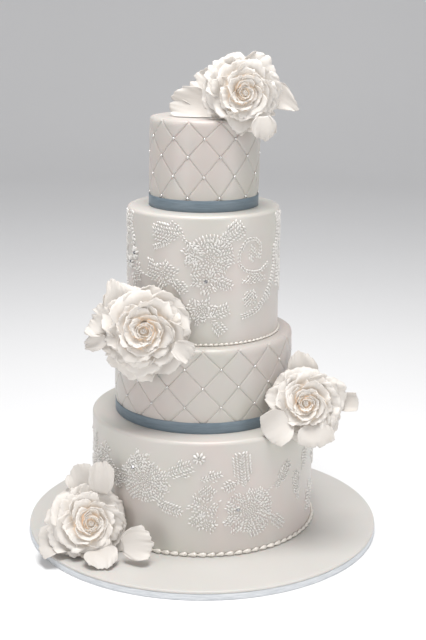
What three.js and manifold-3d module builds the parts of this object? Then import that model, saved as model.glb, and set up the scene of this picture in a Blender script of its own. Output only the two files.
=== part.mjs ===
import * as THREE from 'three';
import { mergeVertices } from 'three/addons/utils/BufferGeometryUtils.js';
import Module from 'manifold-3d';

// A four-tier iced wedding cake on its iced board, with sugar roses and loose sugar petals.
// Millimetres, +Z up, the front toward -Y, the origin at the bottom centre of the board.
// Angles round the cake are in degrees from the front, growing toward +X.

const wasm = await Module();
wasm.setup();

// Board
const BOARD_RADIUS = 245.2;
const BOARD_CORE_HEIGHT = 9;
const BOARD_HEIGHT = 12.5;
const BOARD_RIBBON_THICKNESS = 0.8;
const BOARD_EDGE_ROUNDING = 2.6;
const BOARD_SEGMENTS = 48;

// Tiers, from the bottom up
const CAKE_SETBACK = 10;
const TIER_RADII = [155.0, 122.6, 103.1, 73.9];
const TIER_HEIGHTS = [159.5, 115, 171.5, 118.5];
const TOP_TIER_LEAN = 0.019;
const SHOULDER_ROUNDING = 5;
const TIER_SEGMENTS = 48;
const SHOULDER_STEPS = 2;
const SHOULDER_STEP_IN = 0.6;
const GAP = 0.3;
const CLEARANCE = 0.8;

// Quilting of tiers 2 and 4: rows of crossings above the tier's base
const QUILTS = {
  2: { around: 16, phase: 0.5, rows: [-14, 11, 36.5, 62.5, 88, 112] },
  4: { around: 11, phase: 16.4, rows: [-7, 18.5, 46, 71.5, 95, 116] },
};
const GROOVE_DEPTH = 1.0;
const GROOVE_SLOPE = 0.1;
const STUD_SPREAD = 0.07;
const STUD_RISE = 1.2;

// Satin ribbons round the bases of tiers 2 and 4
const RIBBON_HEIGHT = 15;
const RIBBON_THICKNESS = 0.9;
const RIBBON_RECESS = 0.6;

// Piped bead borders round the bases of tiers 1 and 3
const BORDERS = {
  1: { beads: 64, height: 7.4, depth: 5.2 },
  3: { beads: 56, height: 4.6, depth: 3.4 },
};

// Piped lace: bead length, width and rise
const LACE_BEAD = { length: 14, width: 6, rise: 2.0 };
const LACE_REPEATS = [0, 180];

// Sugar petals
const PETAL_THICKNESS = 1.7;

const ICING = { color: 0xd8d3cc, roughness: 0.42, metalness: 0 };
const LACE_ICING = { color: 0xd2cfca, roughness: 0.38, metalness: 0 };
const BOARD_ICING = { color: 0xe9e6e1, roughness: 0.5, metalness: 0 };
const BORDER_ICING = { color: 0xe4dfd8, roughness: 0.45, metalness: 0 };
const SATIN = { color: 0x6a7680, roughness: 0.4, metalness: 0 };
const SILVER_SATIN = { color: 0xd4d6d8, roughness: 0.35, metalness: 0 };
const CARD = { color: 0xe2e0dc, roughness: 0.8, metalness: 0 };
const SUGAR_PETAL = { color: 0xede5dc, roughness: 0.55, metalness: 0 };

const DEGREE = Math.PI / 180;

// Shared helpers

function tierBase(number) {
  let level = BOARD_HEIGHT;
  for (let below = 1; below < number; below += 1) {
    level += TIER_HEIGHTS[below - 1];
  }
  return level;
}

function aroundAxis(angle, radius, z) {
  const turn = angle * DEGREE;
  return new THREE.Vector3(radius * Math.sin(turn), -radius * Math.cos(turn), z);
}

// A repeatable number between -1 and 1 for two whole numbers
function vary(first, second) {
  const wave = Math.sin(first * 12.9898 + second * 78.233) * 43.5453;
  return 2 * (wave - Math.floor(wave)) - 1;
}

function mixed(from, to, share) {
  return from + (to - from) * share;
}

function geometryFromTriangles(triangles) {
  const geometry = new THREE.BufferGeometry().setFromPoints(triangles.flat());
  return mergeVertices(geometry, 1e-4);
}

function toSolid(geometry) {
  const bare = geometry.clone();
  bare.deleteAttribute('normal');
  bare.deleteAttribute('uv');
  const merged = mergeVertices(bare, 1e-4);
  return new wasm.Manifold(new wasm.Mesh({
    numProp: 3,
    vertProperties: new Float32Array(merged.attributes.position.array),
    triVerts: new Uint32Array(merged.index.array),
  }));
}

function toGeometry(solid) {
  const result = solid.getMesh();
  const geometry = new THREE.BufferGeometry();
  geometry.setAttribute('position', new THREE.BufferAttribute(result.vertProperties, 3));
  geometry.setIndex(new THREE.BufferAttribute(result.triVerts, 1));
  return geometry;
}

function largestPiece(solid) {
  const pieces = solid.decompose();
  return pieces.reduce((best, piece) => (piece.volume() > best.volume() ? piece : best));
}

function fused(solids) {
  return solids.reduce((sum, solid) => sum.add(solid));
}

function named(name, geometry, look) {
  const mesh = new THREE.Mesh(geometry, new THREE.MeshStandardMaterial(look));
  mesh.name = name;
  return mesh;
}

// Turned bodies

function turned(profile, segments) {
  const points = profile.map(([radius, z]) => new THREE.Vector2(radius, z));
  return new THREE.LatheGeometry(points, segments).rotateX(Math.PI / 2);
}

function roundedShoulder(radius, height, rounding, steps) {
  const points = [];
  for (let step = 0; step <= steps; step += 1) {
    const angle = (step / steps) * Math.PI / 2;
    const out = radius - rounding + rounding * Math.cos(angle);
    points.push([out, height - rounding + rounding * Math.sin(angle)]);
  }
  return points;
}

// Board

function boardCore() {
  const radius = BOARD_RADIUS - BOARD_RIBBON_THICKNESS - GAP;
  return turned([[0, 0], [radius, 0], [radius, BOARD_CORE_HEIGHT], [0, BOARD_CORE_HEIGHT]], BOARD_SEGMENTS);
}

function boardIcing() {
  const shoulder = roundedShoulder(BOARD_RADIUS, BOARD_HEIGHT, BOARD_EDGE_ROUNDING, SHOULDER_STEPS);
  const profile = [[0, BOARD_CORE_HEIGHT], [BOARD_RADIUS, BOARD_CORE_HEIGHT], ...shoulder, [0, BOARD_HEIGHT]];
  return turned(profile, BOARD_SEGMENTS);
}

function band(inner, outer, bottom, top, segments) {
  return turned([[inner, bottom], [outer, bottom], [outer, top], [inner, top], [inner, bottom]], segments);
}

function boardRibbon() {
  const inner = BOARD_RADIUS - BOARD_RIBBON_THICKNESS;
  return band(inner, BOARD_RADIUS, GAP, BOARD_CORE_HEIGHT - GAP, BOARD_SEGMENTS);
}

// Tiers 1 and 3: plain bodies with raised lace

function plainTier(radius, height) {
  const shoulder = roundedShoulder(radius, height, SHOULDER_ROUNDING, SHOULDER_STEPS);
  return turned([[0, 0], [radius, 0], ...shoulder, [0, height]], TIER_SEGMENTS);
}

// One piped bead lying on the tier's side, its long axis turned by `slant` from the horizontal
function laceBead(radius, { across, up, slant, size }) {
  const bead = new THREE.OctahedronGeometry(1);
  bead.scale(LACE_BEAD.length / 2 * size, LACE_BEAD.rise, LACE_BEAD.width / 2 * size);
  bead.rotateY(-slant * DEGREE);
  bead.translate(0, -radius, up);
  bead.rotateZ(across / radius);
  return toSolid(bead);
}

// Lace motifs. Places are millimetres: across the tier's side from its front line, and up from its base.

function beadFlower(across, up, rings) {
  const beads = [];
  rings.forEach(({ petals, distance, size = 1, start = 0 }) => {
    for (let petal = 0; petal < petals; petal += 1) {
      const angle = start + (petal * 360) / petals;
      beads.push({
        across: across + distance * Math.cos(angle * DEGREE),
        up: up + distance * Math.sin(angle * DEGREE),
        slant: angle,
        size,
      });
    }
  });
  return beads;
}

function beadLeaf(foot, tip, pairs, spread) {
  const along = new THREE.Vector2(tip[0] - foot[0], tip[1] - foot[1]);
  const heading = Math.atan2(along.y, along.x) / DEGREE;
  const beads = [];
  for (let pair = 0; pair < pairs; pair += 1) {
    const share = (pair + 0.5) / pairs;
    const width = spread * Math.sin(Math.PI * (0.25 + 0.65 * share));
    [-1, 1].forEach((side) => {
      const sideways = (heading + 90 * side) * DEGREE;
      beads.push({
        across: foot[0] + along.x * share + width * Math.cos(sideways),
        up: foot[1] + along.y * share + width * Math.sin(sideways),
        slant: heading + 38 * side,
        size: mixed(0.95, 0.7, share),
      });
    });
  }
  return beads;
}

function beadScroll(points, count) {
  const curve = new THREE.CatmullRomCurve3(points.map(([across, up]) => new THREE.Vector3(across, up, 0)));
  const beads = [];
  for (let index = 0; index < count; index += 1) {
    const share = (index + 0.5) / count;
    const place = curve.getPointAt(share);
    const heading = curve.getTangentAt(share);
    beads.push({
      across: place.x,
      up: place.y,
      slant: Math.atan2(heading.y, heading.x) / DEGREE,
      size: 0.62,
    });
  }
  return beads;
}

function upperLace() {
  return [
    ...beadFlower(13, 114, [
      { petals: 3, distance: 7, size: 0.85, start: 90 },
      { petals: 6, distance: 24, size: 1.1, start: 18 },
    ]),
    ...beadFlower(-50, 96, [{ petals: 4, distance: 13, start: 10 }]),
    ...beadFlower(1, 46, [{ petals: 4, distance: 14, start: 22 }]),
    ...beadFlower(69, 122, [{ petals: 3, distance: 12, start: 30 }]),
    ...beadLeaf([-24, 142], [-68, 144], 2, 7),
    ...beadLeaf([24, 141], [54, 158], 1, 6),
    ...beadScroll([[115, 97], [98, 67], [77, 47], [53, 37]], 3),
    ...beadFlower(-114, 105, [{ petals: 3, distance: 13, start: 90 }]),
  ];
}

function lowerLace() {
  return [
    ...beadFlower(-80, 100, [
      { petals: 3, distance: 8 },
      { petals: 7, distance: 28, size: 1.15, start: 10 },
    ]),
    ...beadFlower(68, 58, [
      { petals: 3, distance: 8, start: 20 },
      { petals: 7, distance: 28, size: 1.15 },
    ]),
    ...beadFlower(0, 136, [{ petals: 3, distance: 12, start: 30 }]),
    ...beadFlower(6, 62, [{ petals: 4, distance: 14, start: 14 }]),
    ...beadLeaf([6, 84], [6, 120], 1, 7),
    ...beadLeaf([55, 100], [56, 146], 1, 8),
    ...beadLeaf([112, 86], [130, 128], 1, 8),
    ...beadLeaf([153, 60], [154, 108], 2, 8),
    ...beadLeaf([-140, 112], [-160, 130], 1, 6),
  ];
}

function lacedTier(radius, height, motifs) {
  const beads = LACE_REPEATS.flatMap((turn) => motifs.map((bead) => ({
    ...bead,
    across: bead.across + turn * DEGREE * radius,
  })));
  const body = toSolid(plainTier(radius, height));
  return toGeometry(fused([body, ...beads.map((bead) => laceBead(radius, bead))]));
}

// Tiers 2 and 4: quilted bodies

// The left, bottom, right and top crossings round the diamond at `column`, `row`; those past the
// quilting's last rows are missing
function diamondCorners(quilt, radius, column, row) {
  const at = (columnAt, rowAt) => latticePoint(quilt, radius - GROOVE_DEPTH, columnAt, rowAt);
  return [
    at(column - 1, row),
    row > 0 ? at(column, row - 1) : null,
    at(column + 1, row),
    row < quilt.rows.length - 1 ? at(column, row + 1) : null,
  ];
}

// The place of a crossing or of a diamond's middle; the top row lies on the shoulder
function latticePoint(quilt, radius, column, row) {
  const angle = quilt.phase + (column * 180) / quilt.around;
  const onShoulder = row === quilt.rows.length - 1;
  return aroundAxis(angle, onShoulder ? radius - SHOULDER_STEP_IN : radius, quilt.rows[row]);
}

function movedOut(point, distance) {
  const flat = Math.hypot(point.x, point.y);
  return new THREE.Vector3(point.x * (1 + distance / flat), point.y * (1 + distance / flat), point.z);
}

// One diamond: a pillow between sloping groove sides, with a quarter of a stud at each crossing
function diamondTriangles(corners, middle) {
  const inset = corners.map((corner) => (
    corner && movedOut(corner.clone().lerp(middle, GROOVE_SLOPE), GROOVE_DEPTH)
  ));
  const nearCrossing = (from, to) => corners[from].clone().lerp(corners[to], STUD_SPREAD);
  const triangles = [];
  corners.forEach((corner, side) => {
    const next = (side + 1) % 4;
    const last = (side + 3) % 4;
    if (corner) {
      const ahead = corners[next] ? nearCrossing(side, next) : inset[side];
      const behind = corners[last] ? nearCrossing(side, last) : inset[side];
      triangles.push([movedOut(corner, GROOVE_DEPTH + STUD_RISE), ahead, behind]);
      if (corners[next] && corners[last]) {
        triangles.push([ahead, inset[side], behind]);
      }
      if (corners[next]) {
        triangles.push([ahead, nearCrossing(next, side), inset[next]]);
        triangles.push([ahead, inset[next], inset[side]]);
      }
    }
  });
  const [left, bottom, right, top] = inset.map((corner) => corner || middle);
  triangles.push([left, bottom, top], [bottom, right, top]);
  const edge = [movedOut(corners[0], GROOVE_DEPTH + STUD_RISE), left, middle, right];
  return { triangles, edge };
}

// The smooth shoulder above the top row of the quilting, closed to the axis
function shoulderTriangles(edge, radius, height) {
  const ring = (out, z) => edge.map((point) => {
    const flat = Math.hypot(point.x, point.y);
    return new THREE.Vector3(point.x * out / flat, point.y * out / flat, z);
  });
  const flatEdge = ring(radius - SHOULDER_ROUNDING, height);
  return [
    ...ringTriangles(edge, flatEdge),
    ...fanTriangles(flatEdge, new THREE.Vector3(0, 0, height)),
  ];
}

function ringTriangles(lower, upper) {
  return lower.flatMap((point, index) => {
    const next = (index + 1) % lower.length;
    return [
      [point, lower[next], upper[next]],
      [point, upper[next], upper[index]],
    ];
  });
}

function fanTriangles(ring, hub) {
  return ring.map((point, index) => [point, ring[(index + 1) % ring.length], hub]);
}

function quiltedShell(quilt, radius, height) {
  const triangles = [];
  const upperEdge = [];
  const lowerEdge = [];
  const topRow = quilt.rows.length - 1;
  for (let row = 0; row <= topRow; row += 1) {
    for (let column = (row + topRow + 1) % 2; column < quilt.around * 2; column += 2) {
      const middle = latticePoint(quilt, radius, column, row);
      const diamond = diamondTriangles(diamondCorners(quilt, radius, column, row), middle);
      triangles.push(...diamond.triangles);
      if (row === topRow) {
        upperEdge.push(...diamond.edge);
      }
      if (row === 0) {
        lowerEdge.push(...diamond.edge);
      }
    }
  }
  triangles.push(...shoulderTriangles(upperEdge, radius, height));
  const bottomHub = new THREE.Vector3(0, 0, quilt.rows[0]);
  triangles.push(...fanTriangles(lowerEdge.reverse(), bottomHub));
  return geometryFromTriangles(triangles);
}

// The quilted body is trimmed to stand on its base and to leave a seat for the ribbon
function quiltedTier(number) {
  const radius = TIER_RADII[number - 1];
  const height = TIER_HEIGHTS[number - 1];
  const quilt = QUILTS[number];
  const seat = radius - RIBBON_RECESS - GROOVE_DEPTH;
  const seatTop = RIBBON_HEIGHT + 2 * GAP;
  const reach = radius + 10;
  const envelope = toSolid(turned([
    [0, 0],
    [seat, 0],
    [seat, seatTop],
    [reach, seatTop],
    [reach, height + 10],
    [0, height + 10],
  ], quilt.around * 2));
  return toGeometry(toSolid(quiltedShell(quilt, radius, height)).intersect(envelope));
}

function ribbonBand(number) {
  const inner = TIER_RADII[number - 1] - RIBBON_RECESS;
  const segments = QUILTS[number].around * 3;
  return band(inner, inner + RIBBON_THICKNESS, GAP, GAP + RIBBON_HEIGHT, segments);
}

// Bead borders: a snail trail of beads, each fat at its head and thin at its tail

function beadBorder(number) {
  const { beads, height, depth } = BORDERS[number];
  const inner = TIER_RADII[number - 1] + GAP;
  const stations = [];
  for (let bead = 0; bead < beads; bead += 1) {
    [[0.3, 1], [0.95, 0.45]].forEach(([share, size]) => {
      stations.push({ angle: ((bead + share) * 360) / beads, size });
    });
  }
  const sections = stations.map(({ angle, size }) => [
    aroundAxis(angle, inner, 0),
    aroundAxis(angle, inner + depth * size, height * size * 0.3),
    aroundAxis(angle, inner, height * size),
  ]);
  const triangles = sections.flatMap((section, index) => {
    const next = sections[(index + 1) % sections.length];
    return section.flatMap((point, corner) => {
      const after = (corner + 1) % section.length;
      return [
        [point, next[corner], next[after]],
        [point, next[after], section[after]],
      ];
    });
  });
  return geometryFromTriangles(triangles);
}

// Sugar petals

// The middle line of a petal in the plane through the flower's axis: it leaves the axis at
// `startTilt` degrees from upright and bends steadily to `endTilt`.
function petalLine(petal, distance) {
  const steps = 12;
  const tiltAt = (share) => mixed(petal.startTilt, petal.endTilt, share * distance / petal.length) * DEGREE;
  let radius = petal.baseRadius;
  let rise = petal.baseHeight;
  for (let step = 0; step < steps; step += 1) {
    const tilt = tiltAt((step + 0.5) / steps);
    radius += Math.sin(tilt) * distance / steps;
    rise += Math.cos(tilt) * distance / steps;
  }
  return { radius, rise, tilt: tiltAt(1) };
}

// A point of the petal's upper face: `side` runs from -1 to 1 across, `along` from 0 to 1 outward.
// A pointed petal is narrower toward its tip.
function petalPoint(petal, side, along) {
  const roundTip = 1 - 0.2 * side * side + petal.point * (1 - Math.abs(side));
  const line = petalLine(petal, petal.length * along * roundTip);
  const swell = 0.4 + 0.6 * Math.sin(Math.PI * Math.min(0.5, along * 0.8));
  const halfWidth = petal.width / 2 * swell * (1 - 1.5 * petal.point * along * along);
  const wrap = mixed(petal.wrapBase, petal.wrapTip, along);
  const across = wrap * Math.sin(side * halfWidth / wrap);
  const cup = wrap * (1 - Math.cos(side * halfWidth / wrap));
  const wave = Math.sin(side * petal.waves * Math.PI + petal.shift);
  const ruffle = petal.ruffle * along * along * wave * (0.35 + 0.65 * Math.abs(side));
  const lift = cup + ruffle + petal.skew * side * along;
  const out = line.radius - Math.cos(line.tilt) * lift;
  const up = line.rise + Math.sin(line.tilt) * lift;
  const turn = petal.turn * DEGREE;
  return new THREE.Vector3(
    out * Math.cos(turn) - across * Math.sin(turn),
    out * Math.sin(turn) + across * Math.cos(turn),
    up,
  );
}

function petalNormal(petal, side, along) {
  const nudge = 0.02;
  const sideways = petalPoint(petal, side + nudge, along).sub(petalPoint(petal, side - nudge, along));
  const outward = petalPoint(petal, side, along + nudge).sub(petalPoint(petal, side, along - nudge));
  return outward.cross(sideways).normalize();
}

// A point of a petal's face, moved off its middle surface by `level`
function facePoint(petal, side, along, level) {
  return petalPoint(petal, side, along).addScaledVector(petalNormal(petal, side, along), level);
}

// The two triangles of a four-cornered patch whose corners run counterclockwise
function patch(a, b, c, d) {
  return [[a, b, c], [a, c, d]];
}

// Both faces and the outer rim between neighbouring columns of two like faces
function stripTriangles(upper, lower, column, next) {
  const last = upper[column].length - 1;
  const triangles = patch(lower[column][last], lower[next][last], upper[next][last], upper[column][last]);
  for (let row = 0; row < last; row += 1) {
    const corners = [[column, row], [column, row + 1], [next, row + 1], [next, row]];
    const [a, b, c, d] = corners.map(([k, r]) => upper[k][r]);
    const [e, f, g, h] = corners.map(([k, r]) => lower[k][r]);
    triangles.push([a, b, c], [a, c, d], [e, g, f], [e, h, g]);
  }
  return triangles;
}

// One petal as a thin wavy solid: two like faces, a petal's thickness apart, joined round the rim
function petalSolid(petal, sides, alongs, thickness) {
  const face = (level) => sides.map((side) => alongs.map((along) => facePoint(petal, side, along, level)));
  const upper = face(thickness / 2);
  const lower = face(-thickness / 2);
  const end = sides.length - 1;
  const triangles = [];
  for (let column = 0; column < end; column += 1) {
    const next = column + 1;
    triangles.push(...stripTriangles(upper, lower, column, next));
    triangles.push(...patch(upper[column][0], upper[next][0], lower[next][0], lower[column][0]));
  }
  for (let row = 0; row < alongs.length - 1; row += 1) {
    triangles.push(...patch(upper[0][row], lower[0][row], lower[0][row + 1], upper[0][row + 1]));
    triangles.push(...patch(upper[end][row + 1], lower[end][row + 1], lower[end][row], upper[end][row]));
  }
  return toSolid(geometryFromTriangles(triangles));
}

// The two faces of a whorl, a thin wavy band whose petals stand side by side, joined by the steep
// folds where each one tucks under the next
function whorlFaces(petals, thickness) {
  const columns = petals.flatMap((petal) => WHORL_SIDES.map((side) => ({ petal, side })));
  const [upper, lower] = [thickness / 2, -thickness / 2].map((level) => (
    columns.map(({ petal, side }) => PETAL_ALONGS.map((along) => facePoint(petal, side, along, level)))
  ));
  return { upper, lower };
}

// A ring's points with their turns, from the smallest turn on
function turnsOf(ring) {
  const whole = 2 * Math.PI;
  const turns = ring.map((point) => (Math.atan2(point.y, point.x) + whole) % whole);
  const first = turns.indexOf(Math.min(...turns));
  return ring.map((_, index) => {
    const place = (index + first) % ring.length;
    return { point: ring[place], turn: turns[place] };
  });
}

// The wall between two rings with different counts of points, the outer one lower
function zippedTriangles(outer, inner) {
  const low = turnsOf(outer);
  const high = turnsOf(inner);
  const turnAfter = (ring, index) => {
    const after = index + 1;
    return after < ring.length ? ring[after].turn : ring[0].turn + 2 * Math.PI;
  };
  const triangles = [];
  let i = 0;
  let j = 0;
  while (i < low.length || j < high.length) {
    const here = low[i % low.length].point;
    const there = high[j % high.length].point;
    const lowGoes = j >= high.length || (i < low.length && turnAfter(low, i) <= turnAfter(high, j));
    if (lowGoes) {
      i += 1;
      triangles.push([here, low[i % low.length].point, there]);
    } else {
      j += 1;
      triangles.push([here, high[j % high.length].point, there]);
    }
  }
  return triangles;
}

// Roses: whorls of petals from the widest inward to the tight bud, for a rose 120 mm across

const ROSE_SIZE = 120;
const WHORLS = [
  {
    petals: 6, baseRadius: 13, baseHeight: -1, length: 48, width: 50,
    tilts: [74, 106], wraps: [60, 120], ruffle: 2.6, skew: 3.8,
  },
  {
    petals: 5, baseRadius: 14, baseHeight: 5, length: 39, width: 44,
    tilts: [52, 86], wraps: [32, 60], ruffle: 2, skew: 3.4,
  },
  {
    petals: 4, baseRadius: 13.5, baseHeight: 10, length: 29, width: 36,
    tilts: [30, 62], wraps: [20, 32], ruffle: 1.2, skew: 2.8,
  },
  {
    petals: 3, baseRadius: 11, baseHeight: 14, length: 21, width: 27,
    tilts: [10, 34], wraps: [13, 17], ruffle: 0.6, skew: 1.8,
  },
  {
    petals: 3, baseRadius: 6, baseHeight: 17, length: 16, width: 17,
    tilts: [4, 10], wraps: [8, 8], ruffle: 0, skew: 0.8,
  },
];
const ROSE_FOOT = -7;
const BUD_TIP = 31;
const WHORL_SIDES = [-1, 0, 1];
const LOOSE_SIDES = [-1, 0, 1];
const PETAL_ALONGS = [0.04, 0.52, 1];

function whorlPetals(rose, whorl, inward, swell) {
  const scale = rose.size / ROSE_SIZE;
  const openness = WHORLS.length - 1 - inward;
  const petals = [];
  for (let index = 0; index < whorl.petals; index += 1) {
    const seed = rose.seed + inward * 10 + index;
    petals.push({
      turn: ((index + inward * 0.38) * 360) / whorl.petals + inward * 24 + 6 * vary(seed, 1),
      baseRadius: whorl.baseRadius * scale,
      baseHeight: whorl.baseHeight * scale,
      length: whorl.length * scale * (1 + 0.1 * vary(seed, 2)) + 2 * swell,
      width: whorl.width * scale * (1 + 0.06 * vary(seed, 3)),
      startTilt: whorl.tilts[0],
      endTilt: whorl.tilts[1] + openness * 3 * vary(seed, 4),
      wrapBase: whorl.wraps[0] * scale,
      wrapTip: whorl.wraps[1] * scale,
      ruffle: whorl.ruffle * scale,
      skew: whorl.skew * scale,
      waves: 1.4 + 0.4 * vary(seed, 5),
      shift: Math.PI * vary(seed, 6),
      point: 0.06 * openness * Math.max(0, vary(seed, 7)),
    });
  }
  return petals;
}

// The rose as one closed surface: up under each whorl, over its rim and down to its root, then on
// to the next whorl inward, from the foot below to the bud's tip
function roseSolid(rose, swell) {
  const scale = rose.size / ROSE_SIZE;
  const triangles = [];
  let valley = null;
  WHORLS.forEach((whorl, inward) => {
    const petals = whorlPetals(rose, whorl, inward, swell);
    const { upper, lower } = whorlFaces(petals, PETAL_THICKNESS + 2 * swell);
    upper.forEach((column, index) => {
      triangles.push(...stripTriangles(upper, lower, index, (index + 1) % upper.length));
    });
    const root = lower.map((column) => column[0]);
    if (valley) {
      triangles.push(...zippedTriangles(valley, root));
    } else {
      triangles.push(...fanTriangles(root.toReversed(), new THREE.Vector3(0, 0, ROSE_FOOT * scale)));
    }
    valley = upper.map((column) => column[0]);
  });
  triangles.push(...fanTriangles(valley, new THREE.Vector3(0, 0, BUD_TIP * scale)));
  return toSolid(geometryFromTriangles(triangles));
}

// The turn and place that bring a flower's axis to face `facing` degrees round the cake and
// `lift` degrees above level, with its heart's foot at `foot`
function posed(rose) {
  const lift = rose.lift * DEGREE;
  const axis = aroundAxis(rose.facing, Math.cos(lift), Math.sin(lift));
  const upright = new THREE.Vector3(0, 0, 1);
  const swing = new THREE.Quaternion().setFromUnitVectors(upright, axis);
  const spin = new THREE.Quaternion().setFromAxisAngle(upright, rose.spin * DEGREE);
  return {
    quaternion: swing.multiply(spin),
    position: new THREE.Vector3(...rose.foot),
  };
}

function poseMatrix(pose) {
  return new THREE.Matrix4().compose(pose.position, pose.quaternion, new THREE.Vector3(1, 1, 1));
}

const ROSES = [
  { name: 'rose_board', foot: [-151, -121, 47], facing: 14, lift: 26, spin: 20, size: 110, seed: 3 },
  { name: 'rose_left', foot: [-75, -92, 307], facing: 0, lift: 15, spin: 60, size: 120, seed: 41 },
  { name: 'rose_right', foot: [137, -80, 205], facing: 0, lift: 17, spin: 24, size: 104, seed: 87 },
  { name: 'rose_top', foot: [50, -36, 609.5], facing: 8, lift: 6, spin: 5, size: 104, seed: 129 },
];

// Which way a loose petal's open side looks
const FRONT = [0, -1, 0.35];
const UPWARD = [0, -0.5, 1];

// Loose petals and small blossom petals tucked round the roses: which way each one's open side
// looks, where it starts and ends, its width and the depth of its cup, and how pointed its tip is
const LOOSE_PETALS = [
  {
    name: 'petal_board_up', faces: FRONT, from: [-134, -118, 88], to: [-132, -116, 134],
    size: [36, 3], point: 0.05,
  },
  {
    name: 'petal_board_back', faces: FRONT, from: [-148, -106, 84], to: [-172, -96, 119],
    size: [42, 4], point: 0,
  },
  {
    name: 'petal_board_left', faces: UPWARD, from: [-182, -132, 30], to: [-217, -138, 22],
    size: [54, 4], point: 0,
  },
  {
    name: 'petal_board_front', faces: UPWARD, from: [-136, -154, 26], to: [-124, -186, 18],
    size: [50, 3], point: 0.15,
  },
  {
    name: 'petal_board_right', faces: FRONT, from: [-104, -160, 34], to: [-64, -164, 44],
    size: [46, 5], point: 0,
  },
  {
    name: 'petal_left_upper', faces: FRONT, from: [-103, -88, 322], to: [-116, -82, 366],
    size: [50, 8], point: 0.2,
  },
  {
    name: 'petal_left_side', faces: FRONT, from: [-120, -99, 314], to: [-147, -93, 326],
    size: [46, 4], point: 0,
  },
  {
    name: 'petal_left_lower', faces: FRONT, from: [-123, -108, 300], to: [-152, -99, 289],
    size: [26, 5], point: 0.1,
  },
  {
    name: 'petal_left_right', faces: FRONT, from: [-38, -126, 296], to: [-11, -126, 284],
    size: [30, 4], point: 0,
  },
  {
    name: 'petal_right_top', faces: FRONT, from: [138, -50, 228], to: [131, -44, 262],
    size: [48, 4], point: 0.2,
  },
  {
    name: 'petal_right_lower', faces: FRONT, from: [115, -109, 193], to: [82, -121, 174],
    size: [52, 9], point: 0,
  },
  {
    name: 'petal_right_low', faces: FRONT, from: [147, -106, 186], to: [151, -122, 158],
    size: [50, 5], point: 0,
  },
  {
    name: 'petal_right_side', faces: FRONT, from: [178, -72, 204], to: [211, -70, 204],
    size: [30, 8], point: 0,
  },
  {
    name: 'petal_top_left', faces: FRONT, from: [18, -18, 586], to: [-45, 4, 590],
    size: [54, 6], point: 0,
  },
  {
    name: 'petal_top_back', faces: FRONT, from: [28, 2, 592], to: [-20, 16, 620],
    size: [56, 7], point: 0,
  },
  {
    name: 'petal_top_right', faces: FRONT, from: [82, -14, 612], to: [117, -16, 593],
    size: [44, 5], point: 0.3,
  },
  {
    name: 'petal_top_drape', faces: FRONT, from: [76, -64, 584], to: [78, -67, 555],
    size: [36, 4], point: 0.1,
  },
];

function looseSolid(piece, index) {
  const from = new THREE.Vector3(...piece.from);
  const along = new THREE.Vector3(...piece.to).sub(from);
  const length = along.length();
  const forward = along.clone().normalize();
  const [width, cup] = piece.size;
  const sideways = new THREE.Vector3().crossVectors(forward, new THREE.Vector3(...piece.faces)).normalize();
  const outward = new THREE.Vector3().crossVectors(sideways, forward).normalize();
  const petal = {
    turn: 0,
    baseRadius: 0,
    baseHeight: 0,
    length,
    width,
    startTilt: 78,
    endTilt: 102,
    wrapBase: width * 0.6,
    wrapTip: width * width / 8 / cup,
    ruffle: 2.2,
    skew: 0,
    waves: 1.5 + 0.3 * vary(index, 5),
    shift: Math.PI * vary(index, 6),
    point: piece.point,
  };
  const frame = new THREE.Matrix4().makeBasis(forward, sideways.clone().negate(), outward).setPosition(from);
  return petalSolid(petal, LOOSE_SIDES, PETAL_ALONGS, PETAL_THICKNESS).transform(frame.toArray());
}

// Everything that flowers must stay clear of

function keptClear() {
  const room = GAP + 1.9;
  const profile = [[0, -20], [BOARD_RADIUS + 60, -20], [BOARD_RADIUS + 60, BOARD_HEIGHT + GAP]];
  TIER_RADII.forEach((radius, index) => {
    const number = index + 1;
    const base = tierBase(number);
    const top = base + TIER_HEIGHTS[index];
    const border = BORDERS[number];
    if (border) {
      const reach = radius + border.depth + 2 * GAP;
      profile.push([reach, base + GAP], [reach, base + border.height + GAP]);
    }
    const lean = number === 4 ? TOP_TIER_LEAN * TIER_HEIGHTS[index] : 0;
    const bottomEdge = border ? base + border.height + GAP : base + GAP;
    profile.push([radius + room + lean, bottomEdge], [radius + room + lean, top + GAP]);
  });
  profile.push([0, tierBase(5) + GAP]);
  return toSolid(turned(profile, 64).translate(0, CAKE_SETBACK, 0));
}

function flowerMeshes() {
  const clear = keptClear();
  const meshes = [];
  const swollen = [];
  ROSES.forEach((rose) => {
    const pose = posed(rose);
    const matrix = poseMatrix(pose);
    const placed = roseSolid(rose, 0).transform(matrix.toArray());
    const cut = largestPiece(placed.subtract(clear));
    swollen.push(roseSolid(rose, CLEARANCE).transform(matrix.toArray()));
    const geometry = toGeometry(cut).applyMatrix4(matrix.clone().invert());
    const mesh = named(rose.name, geometry, SUGAR_PETAL);
    mesh.position.copy(pose.position);
    mesh.quaternion.copy(pose.quaternion);
    meshes.push(mesh);
  });
  let taken = fused([clear, ...swollen]);
  LOOSE_PETALS.forEach((piece, index) => {
    const cut = largestPiece(looseSolid(piece, index).subtract(taken));
    const start = new THREE.Vector3(...piece.from);
    const geometry = toGeometry(cut).translate(-start.x, -start.y, -start.z);
    const mesh = named(piece.name, geometry, SUGAR_PETAL);
    mesh.position.copy(start);
    meshes.push(mesh);
    taken = taken.add(cut);
  });
  return meshes;
}

// The whole cake

function tierGroup(number, pieces) {
  const group = new THREE.Group();
  group.position.set(0, CAKE_SETBACK, tierBase(number));
  group.add(...pieces);
  return group;
}

function leaned(geometry) {
  const shear = new THREE.Matrix4().makeShear(0, 0, 0, 0, TOP_TIER_LEAN, 0);
  return geometry.applyMatrix4(shear);
}

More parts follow.
